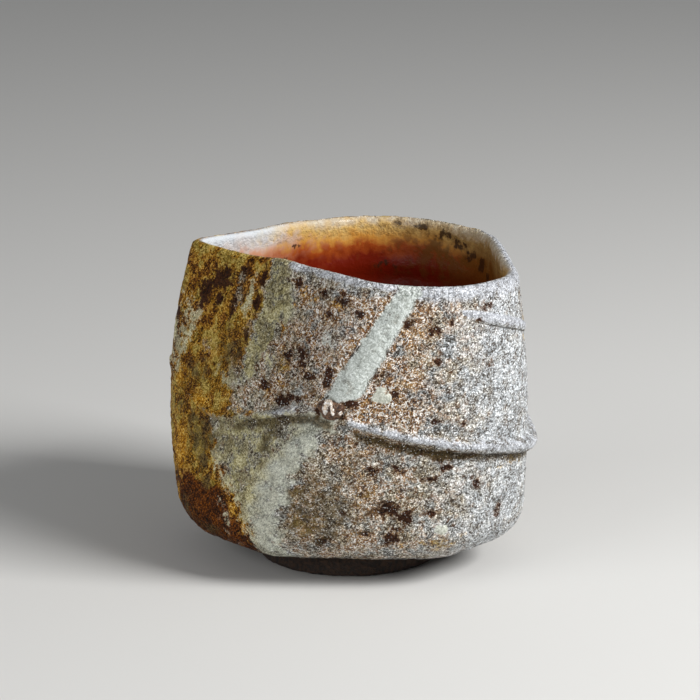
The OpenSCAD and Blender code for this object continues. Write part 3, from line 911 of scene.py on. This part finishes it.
def make_stones(milky, melted):
    """Low lumps of feldspar: rings from the middle of the front, out to the rim and under."""
    draw = np.random.default_rng(STONE_SEED)
    spoke = np.radians(sides_round(STONE_SPOKES))
    front = column(np.linspace(0, 1, 16))
    back = column([0.85, 0.4, 0.0])
    reach = np.vstack([front, back])
    across, along = reach * np.cos(spoke), reach * np.sin(spoke)
    for number, (at, level, wide, tall, bold) in enumerate(STONES, 1):
        wobble = 1 + ripple(*((draw.uniform(0.03, 0.09), n * spoke + draw.uniform(0, 6)) for n in (2, 3, 5)))
        dome = bold * np.sqrt(np.clip(1 - front**2, 0, 1)) - 0.15 * front
        dome = np.vstack([dome, np.full_like(back, -0.9)])
        ribs = 0.12 * bold * np.sin(2.2 * wide * across + 0.9) * (dome > 0)
        side = at + wobble * wide / 2 * across / DEGREE
        height = level + wobble * tall / 2 * along
        places = {"side": side, "height": height, "inset": under_edge(height) - dome - ribs, "grain": 0.25}
        marks = firing_marks(side, height)
        big = number == 1
        marks["milk"] = milky_slivers(across, along) if big else 1 - step(reach, 0.55, 1.0)
        obj = clay_piece(f"feldspar_stone_{number}", milky if big else melted, places, marks)
        keep(obj, "feldspar_stones")


def make_lining(glaze):
    """Glaze over the bowl: down the wall, round the corner and over the floor, then its back."""
    side = sides_round(LINING_COLUMNS)
    top = lip_z(side) - GLAZE_DROP + GLAZE_CREEP
    floor_z = FLOOR_Z + GLAZE_T
    cove_top = floor_z + COVE_R
    wall_z = top + (cove_top - top) * column(np.linspace(0, 1, 90))
    film = -GLAZE_EDGE + (GLAZE_T + GLAZE_EDGE) * step(top - wall_z, -1.0, 9.0)
    rings = RING_TALL * np.sin(wall_z * 2 * math.pi / RING_PITCH + np.radians(side))
    rings = rings * step(top - wall_z, 2.0, 10.0)
    wall = {"side": side, "height": wall_z, "inset": thickness(wall_z) + film + rings, "out": -1.0}
    cove = column(np.radians(np.linspace(90, 0, 20)))[1:]
    corner = {"side": side, "height": floor_z + COVE_R * (1 - np.cos(cove)),
              "inset": WALL_T + GLAZE_T + COVE_R * (1 - np.sin(cove)),
              "out": -np.sin(cove), "up": np.cos(cove)}
    gather = column(np.linspace(0.96, 0, 24))
    swirl = 0.12 * np.sin(gather * 16 + np.radians(side)) * gather
    floor = {"side": side, "height": floor_z + swirl, "inset": WALL_T + GLAZE_T + COVE_R, "spread": gather,
             "out": 0.0, "up": 1.0}
    back_floor = {"side": side, "height": FLOOR_Z + GLAZE_LIFT, "inset": WALL_T + COVE_R,
                  "spread": column([0, 0.9])}
    back_z = column([0.0, 0.5, 1.0]) * (top - cove_top) + cove_top
    back_wall = {"side": side, "height": back_z, "inset": thickness(back_z) - GLAZE_SUNK}
    places = stack(wall, corner, floor, back_floor, back_wall)
    places["lump"] = BOWL_LUMP
    places["grain"] = bowl_grain(places["side"], places["height"])
    marks = bowl_marks(places["side"], places["height"])
    keep(clay_piece("bowl_lining", glaze, places, marks, rows_join=True), "inner_glaze")


def rough_clay_tree():
    """Roughens any mesh along its own normals, as coarse clay is when it is turned."""
    inputs = [("Geometry", GEOMETRY, None), ("Sand size", NUMBER, 0.9), ("Sand height", NUMBER, 0.12),
              ("Drag size", NUMBER, 5.0), ("Drag height", NUMBER, 0.2), ("Material", SUBSTANCE, None)]
    tree, b, given, made = named_tree("GeometryNodeTree", "rough_clay", inputs, [("Geometry", GEOMETRY)])
    place = b.vector("SCALE", b.add("GeometryNodeInputPosition").outputs[0], scale=1 / MM)
    parts = []
    for kind in ("Sand", "Drag"):
        scale = b.math("DIVIDE", 1.0, given[f"{kind} size"])
        noise = b.add("ShaderNodeTexNoise", {"Vector": place, "Scale": scale}).outputs[0]
        parts.append((b.math("SUBTRACT", noise, 0.5), given[f"{kind} height"]))
    normal = b.add("GeometryNodeInputNormal").outputs[0]
    lift = b.vector("SCALE", normal, scale=b.times(b.weighed(*parts), 2 * MM))
    moved = b.add("GeometryNodeSetPosition", {"Geometry": given["Geometry"], "Offset": lift})
    finish_tree(b, given, made, moved)
    return tree


def make_foot_ring(clay):
    """Turned foot ring with rounded lower corners and a flat that the cup stands on."""
    inner, outer = FOOT_R - FOOT_W, FOOT_R - FOOT_SWAY
    bevel, sole, top = FOOT_BEVEL, FOOT_SOLE, FOOT_H + FOOT_SUNK
    corner = np.radians(np.linspace(0, 90, 7))
    profile = [(outer - FOOT_LEAN_OUTER, top)]
    profile += [(outer - bevel + bevel * math.cos(a), bevel - bevel * math.sin(a) + sole) for a in corner]
    profile += [(inner + bevel - bevel * math.sin(a), bevel - bevel * math.cos(a) + sole) for a in corner]
    profile += [(inner - FOOT_LEAN_INNER, top)]
    turn = np.radians(sides_round(FOOT_COLUMNS)[0])
    radius = column([p[0] for p in profile]) + FOOT_SWAY * np.sin(2 * turn + 0.6)[None, :] - FOOT_SWAY
    level = np.broadcast_to(column([p[1] for p in profile]), radius.shape)
    place = np.stack([radius * np.cos(turn), radius * np.sin(turn), level], -1)
    mesh = grid_mesh("foot_ring_turned", radius.shape, True, True, False)
    mesh.vertices.foreach_set("co", (place * MM).astype(np.float32).ravel())
    obj = add_object("foot_ring_turned", mesh)
    finer = obj.modifiers.new("finer", "SUBSURF")
    finer.levels = finer.render_levels = 1
    rough = obj.modifiers.new("rough_clay", "NODES")
    rough.node_group = rough_clay_tree()
    set_input(rough, "Material", clay)
    settle(obj)
    ground = np.empty(len(obj.data.vertices) * 3, np.float32)
    obj.data.vertices.foreach_get("co", ground)
    ground[2::3] = np.maximum(ground[2::3], 0.0)
    obj.data.vertices.foreach_set("co", ground)
    keep(obj, "foot_ring")


# Tones of the crust, dark, middle and light, in the order in which they lie on the bare ash
COOL_ASH = ((64, 58, 52), (158, 163, 165), (249, 251, 252))
WARM_ASH = ((62, 43, 24), (170, 157, 134), (252, 247, 236))
TONES = {
    "sallow": ((58, 42, 20), (162, 149, 113), (248, 241, 218)),
    "rust": ((48, 18, 0), (174, 129, 66), (253, 245, 230)),
    "frost": ((92, 86, 80), (180, 185, 189), (241, 244, 247)),
    "olive": ((62, 37, 0), (157, 112, 26), (208, 167, 82)),
    "moss": ((94, 74, 18), (160, 136, 60), (206, 182, 108)),
    "bronze": ((34, 14, 0), (112, 64, 6), (200, 148, 66)),
    "scorch": ((18, 6, 0), (74, 34, 0), (136, 76, 16)),
    "ember": ((112, 66, 0), (192, 136, 28), (242, 206, 112)),
    "lilac": ((150, 151, 155), (190, 193, 199), (230, 233, 238)),
    "pale": ((153, 158, 150), (197, 203, 198), (229, 234, 230)),
    "straw": ((110, 101, 63), (183, 173, 125), (224, 217, 178)),
    "dim": ((58, 50, 30), (122, 110, 78), (184, 176, 146)),
}

# How a mark's edge is torn: the shares at which it starts to show and shows fully, and the noises that
# tear it, with their weights
TORN = {
    "rust": (0.22, 0.70, {"splinter": 0.40, "bloom": 0.30, "cloud": 0.40}),
    "frost": (0.05, 0.95, {"splinter": 0.35, "cloud": 0.20}),
    "olive": (0.12, 0.80, {"splinter": 0.50, "cloud": 0.55, "grit": 0.12}),
    "scorch": (0.30, 0.70, {"splinter": 0.50, "cloud": 0.55, "grit": 0.12}),
    "ember": (0.24, 0.72, {"splinter": 0.60, "grit": 0.15}),
    "lilac": (0.15, 0.80, {"splinter": 0.50, "bloom": 0.30, "grit": 0.20}),
    "pale": (0.18, 0.86, {"splinter": 0.60, "bloom": 0.60, "grit": 0.22}),
    "iron": (0.46, 0.60, {"splinter": 0.85, "grit": 0.25}),
    "soot": (0.20, 0.75, {"splinter": 0.60, "grit": 0.30}),
}


def torn(b, mark, low, high, *clouds):
    """A soft mark with its edge broken up by clouds, each with its own weight."""
    total = mark
    for cloud, weight in clouds:
        total = b.math("MULTIPLY_ADD", b.math("SUBTRACT", cloud, 0.5), weight, total)
    return b.times(b.ease(total, low, high), b.ease(mark, 0.0, 0.1))


def crust_noises(b, place):
    """The noises that the crust is made of, from grit up to clouds, and its grains."""
    stir = b.add("ShaderNodeTexNoise", {"Vector": place, "Scale": 1 / 0.9, "Detail": 2.0}).outputs["Color"]
    stirred = b.vector("ADD", place, b.vector("SCALE", stir, scale=0.8))
    blown = b.xyz(*(b.dot(stirred, way) for way in ((0.45, 0.0, 0.45), (-1.0, 0.0, 1.0), (0.0, 0.7, 0.0))))
    n = SimpleNamespace(stirred=stirred)
    n.grit = b.patches(blown, 0.32, 2.0, 0.65, 0.13)
    n.splinter = b.patches(place, 1.5, 5.0, 0.68, 0.18)
    n.bloom = b.patches(stirred, 2.6, 4.0, 0.62, 0.14)
    n.cloud = b.patches(place, 5.5, 6.0, 0.64, 0.16)
    n.tint = b.patches(b.vector("ADD", place, (31.0, 7.0, 19.0)), 3.6, 4.0, 0.6, 0.12)
    bead, random = b.cells(stirred, 0.32)
    n.dome = b.ease(bead, 0.10, 0.62, 1.0, 0.0)
    n.crumb, n.chance = b.cells(stirred, 0.26)
    n.hole, n.luck = b.cells(stirred, 1.5)
    # The bead's dome lightens the flecks on its top and darkens them between beads: painted light and shade
    fleck = b.weighed((random, 0.36), (n.dome, 0.42), (n.grit, 0.40), (n.bloom, 0.24))
    n.fleck = b.math("MULTIPLY_ADD", n.splinter, 0.20, b.math("SUBTRACT", fleck, 0.32), clamp=True)
    return n


def crust_masks(b, given, n):
    """Where each tone, the iron and the soot show."""
    masks = {}
    for name, (low, high, clouds) in TORN.items():
        tearing = [(getattr(n, cloud), weight) for cloud, weight in clouds.items()]
        masks[name] = torn(b, given[name.title()], low, high, *tearing)
    patch = b.weighed((n.bloom, 0.5), (n.cloud, 0.5))
    masks["moss"] = b.times(masks["olive"], b.ease(patch, 0.50, 0.70, 0.0, 0.9))
    masks["bronze"] = b.times(masks["olive"], b.ease(patch, 0.24, 0.44, 0.9, 0.0))
    # Sallow, straw and dim tones where warm bounce light is painted
    masks["sallow"] = b.times(given["Warm"], 0.55)
    masks["straw"] = b.times(masks["pale"], given["Warm"])
    masks["dim"] = b.times(masks["straw"], b.ease(n.tint, 0.30, 0.80, 0.0, 0.75))
    return SimpleNamespace(**masks)


def ash_colour(b, n, masks):
    """Flecks of dark, middle and light, in the tones of each place."""
    tones = [b.tones(n.tint, cool, warm) for cool, warm in zip(COOL_ASH, WARM_ASH)]
    for name, colours in TONES.items():
        tones = [b.mix(getattr(masks, name), tone, paint(*colour)) for tone, colour in zip(tones, colours)]
    colour = b.mix(b.ease(n.fleck, 0.12, 0.36), tones[0], tones[1])
    return b.mix(b.ease(n.fleck, 0.50, 0.72), colour, tones[2])


def crumpled_glass(b, colour, n, masks):
    """Bright slivers, which are painted highlights, and dark creases, partly painted shade, in the bare
    rust, and curled pits with rusty rims in the open ash.
    """
    covered = b.most(masks.pale, masks.lilac, masks.olive, masks.frost)
    bare_rust = b.times(masks.rust, b.rest(covered))
    fold = b.math("ABSOLUTE", b.math("SUBTRACT", b.noise(n.stirred, 1.3, 2.0, 0.5), 0.5))
    crease = b.times(b.ease(fold, 0.035, 0.06), b.ease(fold, 0.10, 0.16, 1.0, 0.0))
    crease = b.times(crease, b.ease(n.splinter, 0.30, 0.60), bare_rust, 0.9)
    colour = b.mix(crease, colour, b.tones(n.grit, (50, 20, 3), (140, 88, 38)))
    sliver = b.times(b.ease(fold, 0.02, 0.05, 1.0, 0.0), b.ease(n.grit, 0.25, 0.55), bare_rust, 0.95)
    colour = b.mix(sliver, colour, paint(254, 252, 248))

    luck = b.math("MULTIPLY_ADD", bare_rust, 0.25, n.luck)
    open_ash = b.times(b.ease(luck, 0.60, 0.66), b.rest(covered))
    hole = b.math("MULTIPLY_ADD", b.math("SUBTRACT", n.grit, 0.5), 0.22, n.hole)
    rim = b.times(b.ease(hole, 0.24, 0.46, 1.0, 0.0), open_ash, 0.5)
    curl = b.ease(b.math("ABSOLUTE", b.math("SUBTRACT", hole, 0.24)), 0.05, 0.12, 1.0, 0.0)
    pit = b.times(curl, b.ease(n.splinter, 0.35, 0.60), open_ash, 0.85)
    colour = b.mix(rim, colour, b.tones(n.fleck, (92, 48, 12), (214, 172, 112)))
    return b.mix(pit, colour, b.tones(n.fleck, (18, 8, 4), (92, 56, 32)))


def iron_and_soot(b, colour, n, masks, halo):
    """Dark iron with a rusty halo, and soot with painted shade over both."""
    colour = b.mix(b.times(halo, 0.6), colour, b.tones(n.fleck, (84, 40, 6), (208, 154, 80)))
    colour = b.mix(b.times(masks.iron, 0.97), colour, b.tones(n.fleck, (8, 3, 2), (72, 34, 14)))
    return b.mix(b.times(masks.soot, 0.85), colour, b.tones(n.fleck, (20, 13, 5), (112, 95, 60)))


def crust_group():
    """Ash crust: beads of glassy ash with painted light on their tops and painted shade between them,
    coloured by what the fire left at a place and by painted light and shade.
    """
    inputs = [("Place", VECTOR, None)] + [(m.title(), NUMBER, 0.0) for m in CRUST_MARKS]
    outputs = [("Colour", COLOUR), ("Roughness", NUMBER), ("Coat", NUMBER), ("Height", NUMBER)]
    tree, b, given, made = named_tree("ShaderNodeTree", "ash_flecks", inputs, outputs)
    n = crust_noises(b, given["Place"])
    masks = crust_masks(b, given, n)
    halo = torn(b, given["Iron"], 0.20, 0.60, (n.splinter, 0.70))
    colour = crumpled_glass(b, ash_colour(b, n, masks), n, masks)
    colour = iron_and_soot(b, colour, n, masks, halo)

    dull = b.ease(b.most(masks.olive, masks.scorch, masks.pale), 0.2, 0.8, 1.0, 0.03)
    glint = b.times(b.ease(n.chance, 0.80, 0.86), b.ease(n.crumb, 0.20, 0.45, 1.0, 0.0), dull, 0.85)
    b.feed(made["Colour"], b.mix(glint, colour, paint(253, 252, 249)))
    b.feed(made["Roughness"], b.blend_value(n.chance, 0.45, 0.7))
    wet = b.most(b.times(masks.rust, 0.9), b.times(n.chance, 0.6))
    b.feed(made["Coat"], b.times(wet, b.ease(b.most(masks.iron, masks.soot), 0.0, 1.0, 1.0, 0.12), dull))
    crumple = b.patches(n.stirred, 0.8, 1.0, 0.5, 0.25)
    height = b.weighed((n.bloom, 0.5), (n.grit, 0.2), (n.dome, 0.2), (crumple, 1.4))
    height = b.times(height, b.ease(b.most(masks.olive, masks.scorch), 0.0, 1.0, 1.0, 0.4))
    b.feed(made["Height"], b.math("MULTIPLY_ADD", masks.iron, -0.5, height))
    return tree


# Colours of the bowl from the lip down, by depth, their darkening partly painted shade deep in the bowl:
# most of it, its pale flush with painted light, and its darker olive side with painted shade
BOWL_GOLD = (
    (0.0, (206, 194, 170)), (0.06, (214, 177, 106)), (0.13, (198, 138, 58)),
    (0.19, (150, 66, 20)), (0.27, (104, 22, 4)), (1.0, (74, 8, 1)),
)
BOWL_BLUSH = (
    (0.0, (204, 209, 213)), (0.11, (206, 196, 190)), (0.18, (202, 146, 114)),
    (0.28, (152, 70, 36)), (0.40, (96, 20, 5)),
)
BOWL_TARNISH = (
    (0.0, (204, 196, 174)), (0.07, (156, 128, 76)), (0.20, (112, 70, 22)),
    (0.42, (88, 26, 6)), (1.0, (72, 8, 1)),
)


def bowl_group():
    """Glaze of the bowl from the lip down: pale and gold, orange, then deep red, with its flushes, partly
    painted light and shade.
    """
    inputs = [("Place", VECTOR, None)] + [(m.title(), NUMBER, 0.0) for m in BOWL_MARKS]
    outputs = [("Colour", COLOUR), ("Roughness", NUMBER), ("Height", NUMBER)]
    tree, b, given, made = named_tree("ShaderNodeTree", "bowl_glaze", inputs, outputs)
    place = given["Place"]
    grit = b.patches(place, 0.7, 2.0, 0.6, 0.16)
    mottle = b.patches(place, 2.4, 3.0, 0.6, 0.16)
    cloud = b.noise(place, 7.0, 3.0, 0.6)
    depth = b.math("MULTIPLY_ADD", b.math("SUBTRACT", cloud, 0.5), 0.20, given["Depth"])
    depth = b.math("MULTIPLY_ADD", b.math("SUBTRACT", mottle, 0.5), 0.04, depth)
    blush = torn(b, given["Blush"], 0.2, 0.8, (mottle, 0.3))
    tarnish = torn(b, given["Tarnish"], 0.2, 0.8, (mottle, 0.5))
    colour = b.mix(blush, b.ramp(depth, BOWL_GOLD), b.ramp(depth, BOWL_BLUSH))
    colour = b.mix(tarnish, colour, b.ramp(depth, BOWL_TARNISH))
    dry = b.ease(depth, 0.03, 0.24, 1.0, 0.0)
    speck = b.times(b.rest(grit), dry, 0.38, b.ease(given["Blush"], 0.1, 0.6, 1.0, 0.0))
    colour = b.mix(speck, colour, paint(132, 92, 52))
    spot = torn(b, given["Spot"], 0.35, 0.65, (mottle, 0.6), (grit, 0.3))
    b.feed(made["Colour"], b.mix(b.times(spot, 0.85), colour, paint(48, 28, 16)))
    b.feed(made["Roughness"], b.ease(depth, 0.0, 0.32, 0.6, 0.34))
    b.feed(made["Height"], b.math("MULTIPLY_ADD", grit, b.times(dry, 0.5), mottle))
    return tree


def new_material(name):
    """A material with its bench, its shader's inputs, and the place on the object in millimetres."""
    material = bpy.data.materials.new(name)
    material.use_nodes = True
    bench = Bench(material.node_tree)
    shader = material.node_tree.nodes["Principled BSDF"].inputs
    place = bench.add("ShaderNodeTexCoord").outputs["Object"]
    return material, bench, shader, bench.vector("SCALE", place, scale=1 / MM)


def bump(b, shader, height, distance, strength=1.0):
    """Fine relief on a material, as deep as a distance in millimetres."""
    node = b.add("ShaderNodeBump", {"Height": height, "Distance": distance * MM, "Strength": strength})
    b.feed(shader["Normal"], node.outputs[0])


def glassy_coat(b, shader, coat):
    """A dull body under a thin coat of glass."""
    shader["Specular IOR Level"].default_value = 0.1
    shader["Coat Roughness"].default_value = 0.16
    b.feed(shader["Coat Weight"], coat)


def fed_by_marks(b, tree, place, marks):
    """A shared group, placed in a material and fed by the marks on its mesh."""
    inputs = {"Place": place, **{m.title(): b.mark(m) for m in marks}}
    return b.add("ShaderNodeGroup", inputs, node_tree=tree).outputs


def ash_crust_material(flecks, bowl):
    """Ash crust outside, bare clay underneath, and the bowl's glaze inside the lip."""
    material, b, shader, place = new_material("ash_crust")
    outside = fed_by_marks(b, flecks, place, CRUST_MARKS)
    inside = fed_by_marks(b, bowl, place, BOWL_MARKS)
    within = b.mark("inside")
    sand = b.patches(place, 0.9, 3.0, 0.6, 0.15)
    colour = b.mix(b.mark("bare"), outside["Colour"], b.tones(sand, (30, 21, 16), (66, 48, 36)))
    b.feed(shader["Base Color"], b.mix(within, colour, inside["Colour"]))
    b.feed(shader["Roughness"], b.blend_value(within, outside["Roughness"], inside["Roughness"]))
    glassy_coat(b, shader, b.blend_value(within, outside["Coat"], 0.2))
    bump(b, shader, b.blend_value(within, outside["Height"], b.times(inside["Height"], 0.5)), 0.30)
    return material


def pale_ash_material(flecks):
    """Pale ash: the crust's own flecks, lying finer and smoother."""
    material, b, shader, place = new_material("pale_ash")
    skin = fed_by_marks(b, flecks, place, CRUST_MARKS)
    thick = b.ease(b.mark("pale"), 0.5, 1.0)
    veil = b.tones(b.patches(place, 0.40, 3.0, 0.65, 0.14), (168, 174, 169), (212, 218, 214))
    share = b.times(thick, b.blend_value(b.mark("warm"), 0.30, 0.0))
    b.feed(shader["Base Color"], b.mix(share, skin["Colour"], veil))
    b.feed(shader["Roughness"], skin["Roughness"])
    glassy_coat(b, shader, skin["Coat"])
    bump(b, shader, skin["Height"], 0.09)
    return material


def red_glaze_material(bowl):
    """Glossy deep red glaze, pale and drier towards the lip."""
    material, b, shader, place = new_material("red_glaze")
    inside = fed_by_marks(b, bowl, place, BOWL_MARKS)
    b.feed(shader["Base Color"], inside["Colour"])
    b.feed(shader["Roughness"], inside["Roughness"])
    shader["Specular IOR Level"].default_value = 0.18
    bump(b, shader, inside["Height"], 0.05)
    return material


def bare_clay_material():
    """Bare fired clay, painted dark for the shade under the cup, with coarse sand."""
    material, b, shader, place = new_material("bare_clay")
    sand = b.patches(place, 0.8, 3.0, 0.6, 0.15)
    drag = b.patches(place, 4.0, 3.0, 0.6, 0.15)
    b.feed(shader["Base Color"], b.mix(sand, b.tones(drag, (24, 17, 13), (38, 27, 20)), paint(66, 48, 36)))
    b.feed(shader["Roughness"], b.blend_value(sand, 0.75, 0.92))
    bump(b, shader, b.math("MULTIPLY_ADD", drag, 0.6, sand), 0.25)
    return material


def milky_feldspar_material():
    """The big stone: slivers of milky glass in a socket of dark rust."""
    material, b, shader, place = new_material("feldspar_milky")
    fine = b.patches(place, 0.4, 2.0, 0.6, 0.15)
    seams = b.patches(b.vector("MULTIPLY", place, (1.5, 1.5, 0.6)), 0.9, 3.0, 0.6, 0.2)
    milk = torn(b, b.mark("milk"), 0.35, 0.60, (seams, 0.35), (fine, 0.25))
    glass = b.tones(fine, (206, 184, 160), (250, 247, 242))
    rust = b.mix(fine, b.tones(seams, (22, 10, 5), (74, 36, 16)), paint(128, 96, 70))
    b.feed(shader["Base Color"], b.mix(milk, rust, glass))
    b.feed(shader["Roughness"], b.blend_value(milk, 0.35, 0.14))
    height = b.math("MULTIPLY_ADD", milk, 1.2, b.math("MULTIPLY_ADD", fine, 0.3, seams))
    bump(b, shader, height, 0.3, 0.9)
    return material


def melted_feldspar_material(flecks):
    """Stones that melted flat: a pale green glass, mixed with the crust's flecks."""
    material, b, shader, place = new_material("feldspar_melted")
    skin = fed_by_marks(b, flecks, place, CRUST_MARKS)
    fine = b.patches(place, 0.5, 2.0, 0.6, 0.15)
    blots = b.patches(place, 1.3, 4.0, 0.6, 0.15)
    veil = torn(b, b.mark("milk"), 0.15, 0.80, (blots, 0.9), (fine, 0.3))
    colour = b.tones(fine, (176, 178, 164), (214, 216, 204))
    b.feed(shader["Base Color"], b.mix(veil, skin["Colour"], colour))
    b.feed(shader["Roughness"], b.blend_value(fine, 0.25, 0.4))
    bump(b, shader, skin["Height"], 0.1)
    return material


# The studio, in metres: the floor's half width, the lamps with their place, size and power, and the camera
FLOOR_HALF = 4.0
LAMP_AIM = (0.0, 0.0, 0.03)
LAMPS = (("key", (0.50, -0.24, 0.42), 0.26, 6.1), ("fill", (-0.55, -0.45, 0.30), 0.50, 2.05))
SKY, SKY_STRENGTH = (0.95, 0.97, 1.0, 1.0), 0.18
CAMERA_PLACE, CAMERA_AIM = (0.0, -0.596, 0.2009), (-0.0001, 0.0, 0.0385)
SENSOR_MM, LENS_MM = 36.0, 172.2


def point_at(obj, target):
    """Turns a lamp or the camera to face a point."""
    obj.rotation_euler = (Vector(target) - obj.location).to_track_quat("-Z", "Y").to_euler()


def lay_floor():
    """Pale floor of plain paper."""
    paper, _, shader, _ = new_material("floor_paper")
    shader["Base Color"].default_value = paint(214, 213, 210)
    shader["Roughness"].default_value = 0.9
    mesh = bpy.data.meshes.new("floor")
    corners = [(x * FLOOR_HALF, y * FLOOR_HALF, 0) for x, y in ((-1, -1), (1, -1), (1, 1), (-1, 1))]
    mesh.from_pydata(corners, [], [(0, 1, 2, 3)])
    mesh.materials.append(paper)
    add_object("floor", mesh)


def light_studio():
    """A soft lamp from the right, a weak one from the left, and a dim sky."""
    for name, place, size, power in LAMPS:
        lamp = bpy.data.lights.new(name, "AREA")
        lamp.shape = "SQUARE"
        lamp.size = size
        lamp.energy = power
        obj = add_object(name, lamp)
        obj.location = place
        point_at(obj, LAMP_AIM)
    world = bpy.data.worlds.new("studio")
    bpy.context.scene.world = world
    world.use_nodes = True
    sky = world.node_tree.nodes["Background"].inputs
    sky["Color"].default_value = SKY
    sky["Strength"].default_value = SKY_STRENGTH


def place_camera():
    """Camera at the photograph's viewing angle."""
    lens = bpy.data.cameras.new("camera")
    lens.sensor_width = SENSOR_MM
    lens.lens = LENS_MM
    lens.clip_end = 20.0
    camera = add_object("camera", lens)
    camera.location = CAMERA_PLACE
    point_at(camera, CAMERA_AIM)
    bpy.context.scene.camera = camera
    bpy.context.scene.view_settings.view_transform = "Standard"


flecks = crust_group()
bowl = bowl_group()
crust = ash_crust_material(flecks, bowl)

make_wall(crust)
make_base(crust)
make_foot_ring(bare_clay_material())
make_waist_ridge(crust)
make_shoulder_ridge(crust)
make_lining(red_glaze_material(bowl))
make_ash_band(pale_ash_material(flecks))
make_stones(milky_feldspar_material(), melted_feldspar_material(flecks))
lay_floor()
light_studio()
place_camera()
